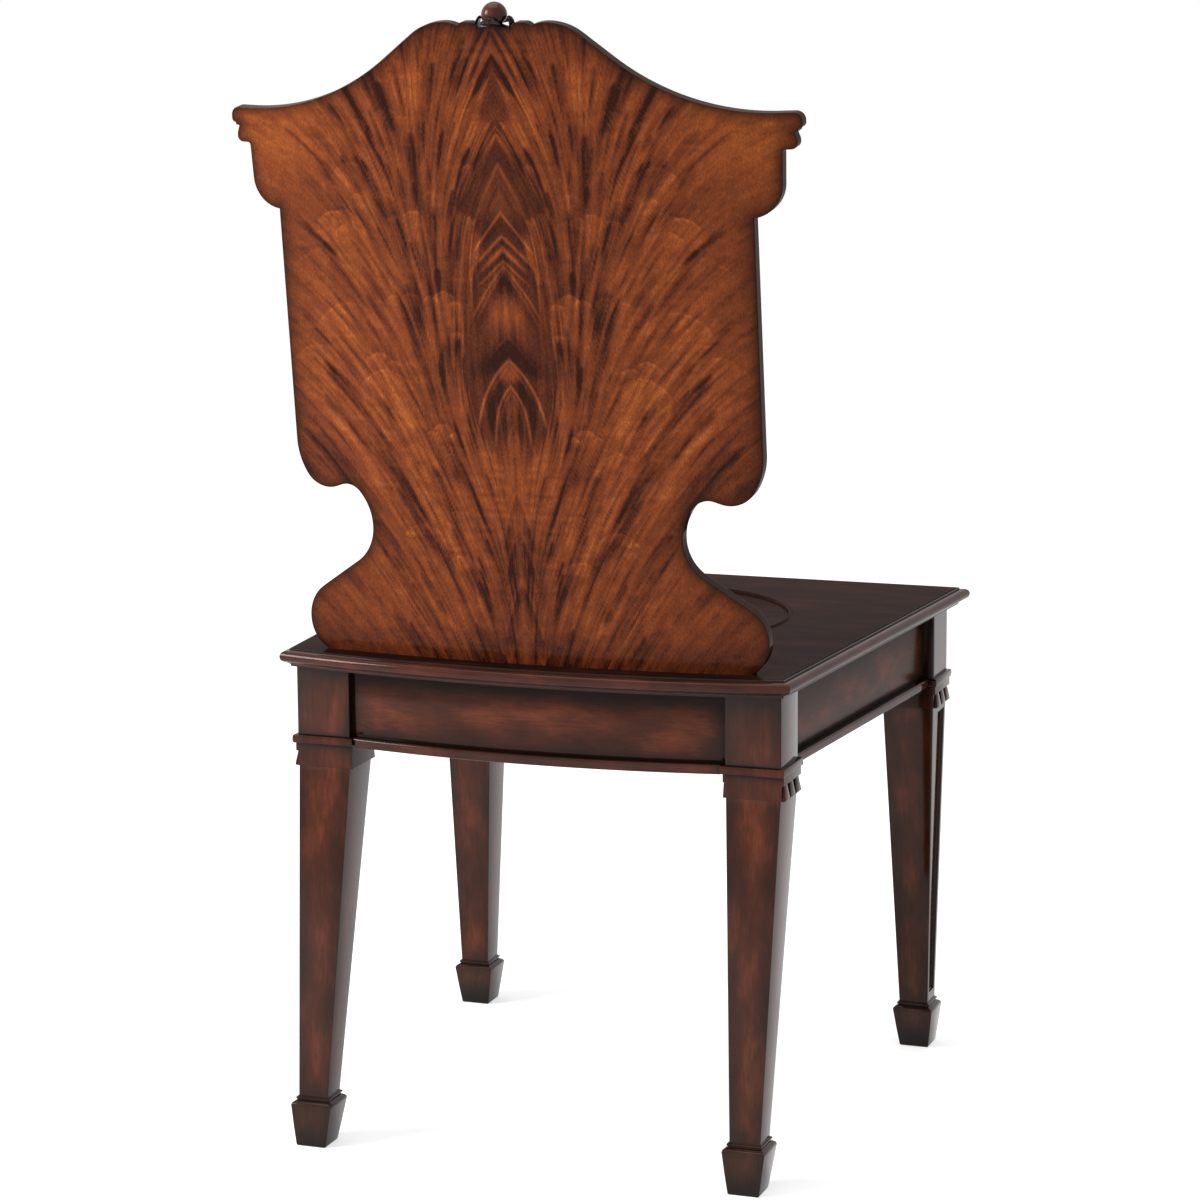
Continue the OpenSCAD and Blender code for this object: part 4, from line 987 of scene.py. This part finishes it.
def combed(field, a, s, length, steps):
    """Mean of a field along the fibre through each point."""
    total, weight = field(a, s), 1.0
    for way in (-1, 1):
        pa, ps = a, s
        for k in range(steps):
            lean = fibre_lean(pa, ps)
            pa = np.abs(pa + np.sin(lean) * way * length / steps)
            ps = ps + np.cos(lean) * way * length / steps
            share = 1 - k / steps
            total, weight = total + field(pa, ps) * share, weight + share
    return total / math.sqrt(weight)


def lay_streak(tone, a, s, foot, length, width, gain, ragged):
    """Adds one streak that swells up the fibres from its foot and stops short at its tip."""
    path = [np.array(foot, float)]
    for _ in range(STREAK_STEPS):
        lean = float(fibre_lean(*path[-1]))
        path.append(path[-1] + np.array((math.sin(lean), math.cos(lean))) * length / STREAK_STEPS)
    path = np.array(path)
    least, most = path.min(axis=0) - 2 * width, path.max(axis=0) + 2 * width
    near = np.nonzero((a > least[0]) & (a < most[0]) & (s > least[1]) & (s < most[1]))[0]
    if not len(near):
        return
    pa, ps = a[near, None] - path[None, :-1, 0], s[near, None] - path[None, :-1, 1]
    da, ds = (path[1:] - path[:-1]).T
    along = np.clip((pa * da + ps * ds) / (da * da + ds * ds), 0, 1)
    away = np.hypot(pa - along * da, ps - along * ds)
    best = away.argmin(axis=1)
    row = np.arange(len(near))
    u = (best + along[row, best]) / STREAK_STEPS
    taper = np.minimum(u / 0.7, 1) ** 0.8 * np.minimum((1 - u) / 0.22, 1) ** 0.5 + 1e-3
    side = away[row, best] / (width * 0.5 * taper + 0.35)
    tone[near] += gain * np.exp(-side ** 2 * 1.2) * np.minimum(taper * 1.5, 1) * ragged[near]


def flame_tone(a, s):
    """Tone of the figure, dark 0 to light 1, at a from the seam and s up the back."""
    rng = np.random.default_rng(FLAME_SEED)
    fine, streak, band = (combed(grain_field(rng, across, up), a, s, length, steps)
                          for across, up, length, steps in COMBED)
    cloud, cross = (grain_field(rng, across, up)(a, s) for across, up in UNCOMBED)
    calm = 1 - CALM * np.maximum(soft_step(a, 130, 180) * soft_step(s, 150, 330),
                                 soft_step(a, 90, 140) * (1 - soft_step(s, 100, 160)))
    tone = 0.67 + calm * (0.07 * fine + 0.055 * streak - 0.015 * band ** 2 + 0.035 * band)
    tone += 0.04 * cloud + cross * (0.03 + 0.03 * hump(a, 0, 90) * hump(s, 120, 80))
    ragged = np.clip(0.9 + 0.45 * fine, 0.2, 1.7)
    for foot, length, width, gain in random_streaks(rng):
        side = soft_step(foot[0], 120, 175) * soft_step(foot[1], 150, 330)
        lobe = soft_step(foot[0], 85, 135) * (1 - soft_step(foot[1], 100, 160))
        lay_streak(tone, a, s, foot, length, width, gain * float(1 - CALM * max(side, lobe)),
                   ragged)
    for *foot, length, width, depth in BOLD_STREAKS:
        lay_streak(tone, a, s, foot, length, BOLD_WIDTH * width, -BOLD_DEPTH * depth, ragged)
    for gain, middle, wide, height, tall in CLOUDS:
        tone += gain * hump(a, middle, wide) * hump(s, height, tall)
    # Painted shade in a band along the seat, in the corner where the back stands; darker also low
    # down, at the outer edges, in the cone over the seat and at the ears' tips
    tone -= 0.24 * hump(s, -4, 26) + 0.04 * (1 - soft_step(s, 60, 150))
    tone -= 0.13 * soft_step(a, 160, 205) * soft_step(s, 120, 160) * (1 - soft_step(s, 385, 430))
    tone -= 0.16 * hump(a, 0, 17 + 0.12 * np.maximum(150 - s, 0)) * hump(s, 92, 48)
    tone -= 0.2 * soft_step(a, 224, 240)
    for middle, height, half, light in SCALLOPS:
        half = SCALLOP_WIDTH * half
        lift = s - height + (a - middle) ** 2 / (1.6 * half)
        across = soft_step(half - np.abs(a - middle), -1, 4)
        # A thin light rim, a light patch that fades below it, and a dark one above
        tone += SCALLOP_GAIN * across * light * (
            0.35 * np.exp(-(lift / 1.4) ** 2)
            + 0.4 * np.exp(np.minimum(lift, 0) / 14) * (lift < 0)
            - 0.35 * np.exp(-np.maximum(lift, 0) / 7) * (lift > 0))
    heart = 1 - soft_step(a + 2.5 * fine, np.interp(s, *HEART_EDGE) - 4,
                          np.interp(s, *HEART_EDGE) + 2)
    # Inside the heart: its dark ground, light eyes down its middle and lighter ends
    body = 0.22 + 0.05 * streak + 0.045 * fine + 0.03 * cloud
    body += 0.17 * soft_step(421 - s - a / 0.6, 0, 10) * soft_step(s, 375, 392)
    body += 0.40 * hump(s, 303, 17) * (1 - soft_step(a + 2 * fine, 8, 27))
    body += 0.34 * hump(s, 249, 8) * (1 - soft_step(a, 2, 11))
    body += 0.22 * hump(s, 222, 9) * (1 - soft_step(a, 1, 7))
    body += 0.34 * (1 - soft_step(s, 165, 205))
    body += 0.10 * hump(s, 352, 12) + 0.14 * soft_step(s, 448, 470)
    tone = tone * (1 - heart) + body * heart
    for row in ARCHES:
        tone += arch(a, s, *row)
    tone += 0.28 * hump(a, 0, 4.0) * soft_step(s, 176, 188) * (1 - soft_step(s, 194, 205))
    return np.clip(tone, 0, 1)


def random_streaks(rng):
    """Streaks strewn over the leaf: many faint, few deep, and some thin light ones."""
    def draw(ranges):
        return [rng.uniform(*r) for r in ranges]

    streaks = []
    for height in range(-30, 520, STREWN_PITCH):
        across = rng.uniform(2, 10)
        while across < 225:
            up = height + rng.uniform(-8, 8)
            depth = DEEPEST * rng.random() ** 1.8
            streaks.append(((across, up), *draw(DARK_STREAK), -depth))
            if rng.random() < LIGHT_CHANCE:
                foot = (across + rng.uniform(3, 8), up + rng.uniform(0, 14))
                streaks.append((foot, *draw(LIGHT_STREAK)))
            for _ in range(HAIRLINES):
                foot = (across + rng.uniform(-6, 6), up + rng.uniform(-10, 10))
                length, width, depth = draw(HAIRLINE)
                streaks.append((foot, length, width, -depth))
            across += rng.uniform(*STREWN_GAP)
    return streaks


def arch(a, s, apex, wide, drop, foot, thick, gain):
    """One pointed arch of the heart, light or dark, fading at its foot."""
    below = np.maximum(apex - s, 0)
    fall = np.exp(-below / drop)
    slope = wide / drop * fall
    away = np.where(s < apex, (a - wide * (1 - fall)) / np.sqrt(1 + slope ** 2),
                    np.hypot(a, (s - apex) * 0.8))
    return gain * soft_step(s, foot - 4, foot + 14) * np.exp(-(away / thick) ** 2)


# ---------------------------------------------------------------- back

def on_back(x, s, depth):
    """Point x across the back, s up its slope and depth forward of its rear face."""
    y = math.sqrt((BOW_R - depth) ** 2 - x * x) - BOW_R
    return Vector((x, REAR_Y - BACK_SET + y * math.cos(RAKE) + s * math.sin(RAKE),
                   SEAT_H - y * math.sin(RAKE) + s * math.cos(RAKE)))


def foot_s(x, depth):
    """How far up the back's slope it meets the seat."""
    return (math.sqrt((BOW_R - depth) ** 2 - x * x) - BOW_R) * math.tan(RAKE)


def cut_run(outline, seam=None):
    """The run of an anticlockwise outline left of the seam and above the seat.

    It is a list of (index, share towards the next point, limit that it ends on)."""
    def inside(p):
        return p.y > foot_s(p.x, 0) and (seam is None or p.x > seam)

    run, start = [], 0
    for i, p in enumerate(outline):
        q = outline[(i + 1) % len(outline)]
        if inside(p):
            run.append((i, 0.0, None))
        if inside(p) != inside(q):
            rise = p.y - foot_s(p.x, 0), q.y - foot_s(q.x, 0)
            limit = "seat" if rise[0] * rise[1] < 0 else "seam"
            a, b = rise if limit == "seat" else (p.x - seam, q.x - seam)
            run.append((i, a / (a - b), limit))
            if inside(q):
                start = len(run) - 1
    return run[start:] + run[:start]


def run_points(outline, run, seam, depth):
    """Points of a run on an outline, its ends kept on the seam and the seat."""
    points = []
    for i, share, limit in run:
        p = outline[i].lerp(outline[(i + 1) % len(outline)], share)
        if limit == "seam":
            p.x = seam
        elif limit == "seat":
            p.y = foot_s(p.x, depth)
        points.append(p)
    return points


def between(a, b, count, depth=None):
    """Points between two ends: straight, or along the seat where a depth is given."""
    points = [a.lerp(b, k / count) for k in range(1, count)]
    for p in points if depth is not None else ():
        p.y = foot_s(p.x, depth)
    return points


# Columns and rows of points on a face of the back, in millimetres
COARSE = (np.arange(-260, 260.1, 8.0), 24.0)
FRONT_WEAVE = (np.arange(-260, 260.1, 2.2), 2.4)
REAR_WEAVE = (np.concatenate([np.arange(0.4, 48, 0.85), np.arange(48, 264, 1.45)]), 1.25)

# Points along the seam, along the seat, up the front field's seam and under the whole board
SEAM_STEPS, FOOT_STEPS, FIELD_STEPS, BOARD_STEPS = 360, 140, 220, 60


def fill(shape, rows_at, ring, verts, depth):
    """Triangles inside a ring, on columns and rows of points so that they bend with the bow."""
    columns, pitch = rows_at
    tree = search_tree(ring)
    outline = np.array([tuple(p) for p in ring])
    after = np.roll(outline, -1, axis=0)
    points = [Vector(p) for p in ring]
    for s in np.arange(outline[:, 1].min() + pitch / 2, outline[:, 1].max(), pitch):
        crossed = (outline[:, 1] > s) != (after[:, 1] > s)
        a, b = outline[crossed], after[crossed]
        ends = np.sort(a[:, 0] + (s - a[:, 1]) / (b[:, 1] - a[:, 1]) * (b[:, 0] - a[:, 0]))
        for x0, x1 in zip(ends[::2], ends[1::2]):
            for x in columns[(columns > x0) & (columns < x1)]:
                if tree.find((x, s, 0))[2] > 0.45 * pitch:
                    points.append(Vector((x, s)))
    n = len(ring)
    loop = [(i, (i + 1) % n) for i in range(n)]
    found, _, faces, origins, _, _ = geometry.delaunay_2d_cdt(points, loop, [], 1, 1e-5)
    corner = []
    for p, origin in zip(found, origins):
        known = [i for i in origin if i < n]
        corner.append(verts[known[0]] if known else shape.verts.new((p.x, p.y, depth)))
    for face in faces:
        if len({corner[i] for i in face}) == 3:
            shape.faces.new([corner[i] for i in face])


def layer(steps, outline, seam=None, weaves=(COARSE, COARSE), inner=None):
    """Part of the flat back left of the seam, as rings from its rear face to its front one.

    steps holds (depth, inset of the outline, inset of the inner outline) from the rear."""
    run = cut_run(outline, seam)
    inner_run = cut_run(inner, seam) if inner else []
    seated = any(limit == "seat" for _, _, limit in run)
    shape = bmesh.new()
    rows, rings = [], []
    for depth, inset, inner_inset in steps:
        ring = run_points(moved_in(outline, inset), run, seam, depth)
        start, end = ring[0], ring[-1]
        if inner:
            hole = run_points(moved_in(inner, inner_inset), inner_run, seam, depth)[::-1]
            ring += between(end, hole[0], 6) + hole
            end = hole[-1]
        if seam is None:
            ring += between(end, start, BOARD_STEPS, depth)
        elif seated:
            toe = Vector((seam, foot_s(seam, depth)))
            ring += between(end, toe, 2 if inner else SEAM_STEPS) + [toe]
            ring += between(toe, start, FOOT_STEPS, depth)
        else:
            ring += between(end, start, FIELD_STEPS)
        rings.append(ring)
        rows.append([shape.verts.new((p.x, p.y, depth)) for p in ring])
    join(shape, rows)
    for k, weave in ((0, weaves[0]), (-1, weaves[1])):
        fill(shape, weave, rings[k], rows[k], steps[k][0])
    return shape


def bend(shape, side=1):
    """Carries a flat layer in millimetres onto the raked, bowed back, mirrored for the right."""
    for v in shape.verts:
        v.co = on_back(v.co.x * side, v.co.y, v.co.z) * MM
    return shape


def search_tree(points):
    """Search tree over points on the flat back."""
    tree = kdtree.KDTree(len(points))
    for i, p in enumerate(points):
        tree.insert((p.x, p.y, 0), i)
    tree.balance()
    return tree


OUTLINE_TREE = search_tree([p for p in BACK_OUTLINE if p.y > -1])


def store_figure(shape, seam):
    """Writes the flame's tone and the distance from the outline on a flat leaf."""
    tone = shape.verts.layers.float.new("tone")
    edge = shape.verts.layers.float.new("edge")
    shape.verts.ensure_lookup_table()
    a = np.array([v.co.x - seam for v in shape.verts])
    s = np.array([v.co.y for v in shape.verts])
    for v, level in zip(shape.verts, flame_tone(np.abs(a), s)):
        v[tone] = level
        v[edge] = OUTLINE_TREE.find((v.co.x, v.co.y, 0))[2]


REAR_LEAF = ((0.0, 0.9, 0), (0.05, 0.45, 0), (0.25, 0.12, 0), (0.55, 0.0, 0), (VENEER_T, 0.0, 0))
FRONT_LEAF = ((CORE_FRONT, 0, 0), (CORE_FRONT + VENEER_T, 0, 0))
# The raised border's round outer edge, its narrow crown and the ogee down to the field
BORDER = ((CORE_FRONT, 0, 0), (10.5, 0, 0), (11.0, 0.12, -0.15), (11.6, 0.5, -0.6),
          (12.2, 1.1, -1.5), (12.7, 1.9, -2.6), (12.93, 2.6, -3.3), (BACK_T, 3.4, -4.0))
for side, hand in SIDES:
    seam = SEAM_X * side
    rear_weave = (seam + REAR_WEAVE[0], REAR_WEAVE[1])
    for face, leaf in (
            ("rear", layer(REAR_LEAF, BACK_OUTLINE, seam, (rear_weave, COARSE))),
            ("front", layer(FRONT_LEAF, FIELD_OUTLINE, seam, (COARSE, FRONT_WEAVE)))):
        store_figure(leaf, seam)
        node = f"back_veneer_{hand}" if face == "rear" else f"front_veneer_{hand}"
        finish_piece(f"{face}_flame_leaf_{hand}", bend(leaf, side), FLAME, node, "flame_veneer")
    border = layer(BORDER, BACK_OUTLINE, 0.0, inner=FIELD_OUTLINE)
    finish_piece(f"front_edge_moulding_{hand}", bend(border, side), BACK_EDGE,
                 f"edge_moulding_{hand}")
board = layer(((VENEER_T, 0, 0), (CORE_FRONT, 0, 0)), BACK_OUTLINE)
finish_piece("back_board", bend(board), BACK_EDGE, "back_core")


# ---------------------------------------------------------------- carved finial

def finial_point(x, out, s):
    """Point x to the left of the finial's axis, out towards the rear, s up the back."""
    at = on_back(0, s, FINIAL_DEPTH - out)
    return Vector((x, at.y, at.z))


def turned(levels, count=48):
    """Rings about the finial's axis from (radius, height up the back) levels."""
    return [[finial_point(r * math.cos(2 * math.pi * k / count),
                          r * math.sin(2 * math.pi * k / count), s) for k in range(count)]
            for r, s in levels]


# Ball with its spigot, and a small worn flat on its crown
BALL_FOOT = -math.degrees(math.asin((BALL_S - PEAK_S - 0.3) / BALL_R))
BALL = curve(0, BALL_S, BALL_R, BALL_R, BALL_FOOT, 89, 26)
lofted("finial_ball", turned([(2.5, CREST_S - 16), (2.5, BALL[0].y - 0.1)] + BALL), CARVED,
       "finial_ball")

# A leaf of the calyx along its midrib: how far out, height over the crest, half its width, and
# how far its midrib stands proud. The side leaves grip the ends of the crest's peak; those at
# the rear and the front are short and wide and rest on top of it.
SIDE_LEAF = ((8.0, -9.5, 3.0, 0.6), (12.0, -8.0, 4.5, 0.9), (14.8, -5.5, 5.5, 1.1),
             (15.6, -2.5, 5.6, 1.2), (15.0, 0.5, 5.0, 1.2), (13.8, 3.0, 4.0, 1.0),
             (12.4, 4.2, 2.6, 0.7), (11.3, 4.0, 1.2, 0.3))
STANDING_LEAF = ((6.0, -2.2, 6.0, 0.4), (9.0, -2.0, 8.5, 0.8), (11.0, -0.6, 8.8, 1.1),
                 (12.2, 1.2, 7.4, 1.2), (12.4, 3.0, 5.2, 1.0), (12.0, 4.4, 3.0, 0.7),
                 (11.4, 4.8, 1.0, 0.3))
LEAF_THICK = 2.2
# Across a leaf's outer face: share of its half width, and of how proud its midrib stands
LEAF_SECTION = ((-1, -0.35), (-0.8, 0.25), (-0.45, 0.05), (-0.16, 0.1), (0, 1.0), (0.16, 0.1),
                (0.45, 0.05), (0.8, 0.25), (1, -0.35))


def leaf_rings(path, turn):
    """Cross-sections of one carved leaf, ribbed down its middle, turned about the axis."""
    rings = []
    for k, (out, height, half, proud) in enumerate(path):
        before, after = path[max(k - 1, 0)], path[min(k + 1, len(path) - 1)]
        way = Vector((after[0] - before[0], after[1] - before[1])).normalized()
        normal = Vector((way.y, -way.x))
        points = [(t * half, lift * proud) for t, lift in LEAF_SECTION]
        points += [(t * half, -LEAF_THICK * (1 - 0.3 * abs(t))) for t in (0.8, 0, -0.8)]
        ring = []
        for across, lift in points:
            r, s = out + normal.x * lift, CREST_S + height + normal.y * lift
            ring.append(finial_point(r * math.cos(turn) - across * math.sin(turn),
                                     r * math.sin(turn) + across * math.cos(turn), s))
        rings.append(ring)
    return rings


shape = bmesh.new()
for path, turns in ((SIDE_LEAF, (0, 180)), (STANDING_LEAF, (90, 270))):
    for turn in turns:
        loft(shape, leaf_rings(path, math.radians(turn)))
# The turned cup that the leaves are carved round
loft(shape, turned([(4.2, CREST_S - 1.2), (7.4, CREST_S - 0.6), (8.9, CREST_S + 0.5),
                    (9.4, CREST_S + 1.6), (8.6, CREST_S + 2.2), (4.4, CREST_S + 2.0)], 32),
     caps=False)
finish_piece("finial_leaves", shape, LEAF_WOOD, "finial_leaves")


# ---------------------------------------------------------------- corner blocks and screws

SCREW_R, SCREW_HEAD_R, SCREW_HEAD_H = 2.2, 4.2, 2.6
BRACE_H = 34.0
BRACE_LOW = SEAT_LOW - BRACE_H
SCREW_PITCH = 2.0


def eased_copy(name, node, radius=0.8):
    """A CAD block's own mesh, merged, with its arrises eased."""
    shape = bmesh.new()
    shape.from_mesh(bpy.data.objects[node].data)
    bmesh.ops.remove_doubles(shape, verts=shape.verts, dist=1e-6)
    bmesh.ops.dissolve_limit(shape, angle_limit=math.radians(1), verts=shape.verts,
                             edges=shape.edges)
    holder = new_object(name, new_mesh(name, shape))
    ease = holder.modifiers.new("eased", "BEVEL")
    ease.width = radius * MM
    ease.segments = 2
    ease.limit_method = "ANGLE"
    ease.angle_limit = math.radians(50)
    finish_piece(name, evaluated(holder), BEECH, node, "inner_wood")


def screw_shape(length):
    """Slotted countersunk wood screw, head at 0 and point along +Z."""
    shape = bmesh.new()
    levels = [(SCREW_HEAD_R - 0.3, 0), (SCREW_HEAD_R, 0.3), (SCREW_R, SCREW_HEAD_H),
              (SCREW_R, length * 0.35)]
    z = length * 0.35 + 0.5
    while z < length - 4:
        levels += [(SCREW_R - 0.6, z), (SCREW_R, z + SCREW_PITCH * 0.4),
                   (SCREW_R - 0.6, z + SCREW_PITCH * 0.8)]
        z += SCREW_PITCH
    levels += [(SCREW_R - 0.8, length - 3), (0.25, length)]
    loft(shape, [[(r * math.cos(math.tau * k / 20), r * math.sin(math.tau * k / 20), z)
                  for k in range(20)] for r, z in levels])
    for side in (-1, 1):
        head = [f for f in shape.faces if all(abs(v.co.z) < 1e-7 for v in f.verts)]
        bmesh.ops.bisect_plane(shape, geom=head + list({e for f in head for e in f.edges}),
                               plane_co=(side * 0.55 * MM, 0, 0), plane_no=(1, 0, 0))
    slot = [f for f in shape.faces if all(abs(v.co.z) < 1e-7 and abs(v.co.x) < 0.6 * MM
                                          for v in f.verts)]
    sunk = bmesh.ops.extrude_face_region(shape, geom=slot)
    bmesh.ops.delete(shape, geom=slot, context="FACES")
    for v in sunk["geom"]:
        if isinstance(v, bmesh.types.BMVert):
            v.co.z += 1.1 * MM
            v.co.y *= 0.9
    bmesh.ops.recalc_face_normals(shape, faces=shape.faces)
    return shape


def rail_in_x(y):
    """Inner face of a side rail at depth y."""
    t = (RAIL_REAR_PT.y - y) / (RAIL_REAR_PT.y - RAIL_FRONT_PT.y)
    return RAIL_REAR_PT.x + (RAIL_FRONT_PT.x - RAIL_REAR_PT.x) * t - RAIL_T


REAR_IN = Vector((REAR_AT.x - BLOCK_W / 2, REAR_AT.y - BLOCK_W / 2))
FRONT_IN = Vector((FRONT_AT.x - BLOCK_W / 2, FRONT_AT.y + BLOCK_W / 2))
REAR_WALL = REAR_AT.y + BLOCK_W / 2 - REAR_RAIL_SET - RAIL_T
FRONT_WALL = FRONT_RAIL_Y + RAIL_T
CORNER_SCREW_L, SEAT_SCREW_L = 30.0, 39.0
CORNER_SCREW_Z = BRACE_LOW + 12
# How far the screws are from the blocks' inner corners, and how deep they bite the rails
SEAT_SCREW_IN, CORNER_SCREW_IN, BITE = 17, 32, 12


QUARTER = math.pi / 2
seat_places, corner_places = [], []
for side, hand in SIDES:
    # At each end: the block's inner corner, the rail's inner face, which way is out, the turn
    for row, inner, wall, way, turn in (("rear", REAR_IN, REAR_WALL, 1, 0.6),
                                        ("front", FRONT_IN, FRONT_WALL, -1, 1.1)):
        seat_places.append(((side * (inner.x - SEAT_SCREW_IN), inner.y - 2 * way, BRACE_LOW + 4),
                            (0, 0, turn * side)))
        y = inner.y - CORNER_SCREW_IN * way
        corner_places += [
            ((side * (inner.x - CORNER_SCREW_IN), wall + way * (BITE - CORNER_SCREW_L),
              CORNER_SCREW_Z), (-QUARTER * way, 0, 0)),
            ((side * (rail_in_x(y) + BITE - CORNER_SCREW_L), y, CORNER_SCREW_Z + 10),
             (0, QUARTER * side, 0))]
        eased_copy(f"{row}_corner_block_{hand}", f"corner_block_{row}_{hand}")
for name, length, places in (("seat_screws", SEAT_SCREW_L, seat_places),
                             ("corner_screws", CORNER_SCREW_L, corner_places)):
    copied(name, screw_shape(length), places, STEEL, name, slot="screw_steel", smooth=40)


# ---------------------------------------------------------------- camera, light and floor

# Measured from the photograph, in the frame 1200 pixels square
IMAGE = 1200.0
FOCAL_PX = 3816.43
CENTRE_PX = Vector((527.46, 587.90))
CAMERA_AT = Vector((-1.1128, 3.1347, 1.0683))
CAMERA_YAW = math.radians(20.755)
CAMERA_PITCH = math.radians(10.238)
CAMERA_ROLL = math.radians(-0.554)
# Strength of the fill on the chair, how far the floor is lifted when seen, and half its side
FILL = 0.55
FLOOR_LIFT = 0.62
FLOOR_REACH = 14.0


def photo_camera():
    """Camera at the photograph's place, behind the chair and to its sitter's right."""
    data = bpy.data.cameras.new("photo_camera")
    data.sensor_width = 36.0
    data.sensor_fit = "HORIZONTAL"
    data.lens = FOCAL_PX / IMAGE * data.sensor_width
    data.shift_x = (IMAGE / 2 - CENTRE_PX.x) / IMAGE
    data.shift_y = (CENTRE_PX.y - IMAGE / 2) / IMAGE
    data.clip_end = 50.0
    yaw, pitch, roll = CAMERA_YAW, CAMERA_PITCH, CAMERA_ROLL
    forward = Vector((math.sin(yaw) * math.cos(pitch), -math.cos(yaw) * math.cos(pitch),
                      -math.sin(pitch)))
    level = Vector((-math.cos(yaw), -math.sin(yaw), 0))
    upward = level.cross(forward)
    right = level * math.cos(roll) + upward * math.sin(roll)
    up = upward * math.cos(roll) - level * math.sin(roll)
    camera = new_object("photo_camera", data)
    turn = Matrix((right, up, -forward)).transposed().to_4x4()
    camera.matrix_world = Matrix.Translation(CAMERA_AT) @ turn
    bpy.context.scene.camera = camera


def area_light(name, at, towards, size, power):
    """Soft box aimed at a point."""
    data = bpy.data.lights.new(name, "AREA")
    data.shape = "RECTANGLE"
    data.size, data.size_y = size
    data.energy = power
    light = new_object(name, data)
    way = (Vector(towards) - Vector(at)).normalized()
    light.matrix_world = Matrix.Translation(at) @ way.to_track_quat("-Z", "Y").to_matrix().to_4x4()


def seen_directly(tree):
    """1 for rays from the camera, off a gloss or through glass, and 0 for the light itself."""
    path = add(tree, "ShaderNodeLightPath", out=None)
    seen = add(tree, "ShaderNodeMath", {0: path.outputs["Is Camera Ray"],
                                        1: path.outputs["Is Glossy Ray"]}, operation="MAXIMUM")
    return add(tree, "ShaderNodeMath", {0: seen, 1: path.outputs["Is Transmission Ray"]},
               operation="MAXIMUM")


def studio_world():
    """Even studio fill that shows as white to the camera and in reflections."""
    world = bpy.data.worlds.new("studio")
    world.use_nodes = True
    bpy.context.scene.world = world
    tree = world.node_tree
    tree.nodes.clear()
    strength = add(tree, "ShaderNodeMapRange", {0: seen_directly(tree), 3: FILL, 4: 1.0})
    light = add(tree, "ShaderNodeBackground", {0: (1, 1, 1, 1), 1: strength})
    add(tree, "ShaderNodeOutputWorld", {0: light})


# Pale seamless floor, lifted to white for the camera so that only the soft shadow is left.
def pale_floor():
    """Plain floor that keeps the chair's shadow."""
    material, tree, shader = new_material("pale_floor", Base_Color=srgb("#dedede"), Roughness=0.7,
                                          Specular_IOR_Level=0.0, Emission_Color=(1, 1, 1, 1))
    lift = add(tree, "ShaderNodeMath", {0: seen_directly(tree), 1: FLOOR_LIFT},
               operation="MULTIPLY")
    tree.links.new(lift, shader.inputs["Emission Strength"])
    mesh = bpy.data.meshes.new("floor")
    mesh.from_pydata([(x * FLOOR_REACH, y * FLOOR_REACH, 0)
                      for x, y in ((-1, -1), (1, -1), (1, 1), (-1, 1))], [], [(0, 1, 2, 3)])
    mesh.materials.append(material)
    floor = new_object("floor", mesh)


bpy.context.scene.view_settings.view_transform = "Standard"
photo_camera()
studio_world()
area_light("key_softbox", (2.6, 1.9, 1.9), (0, 0, 0.6), (1.4, 1.4), 112)
area_light("top_softbox", (0.3, 0.2, 3.0), (0, 0, 0.4), (2.0, 2.0), 26)
pale_floor()
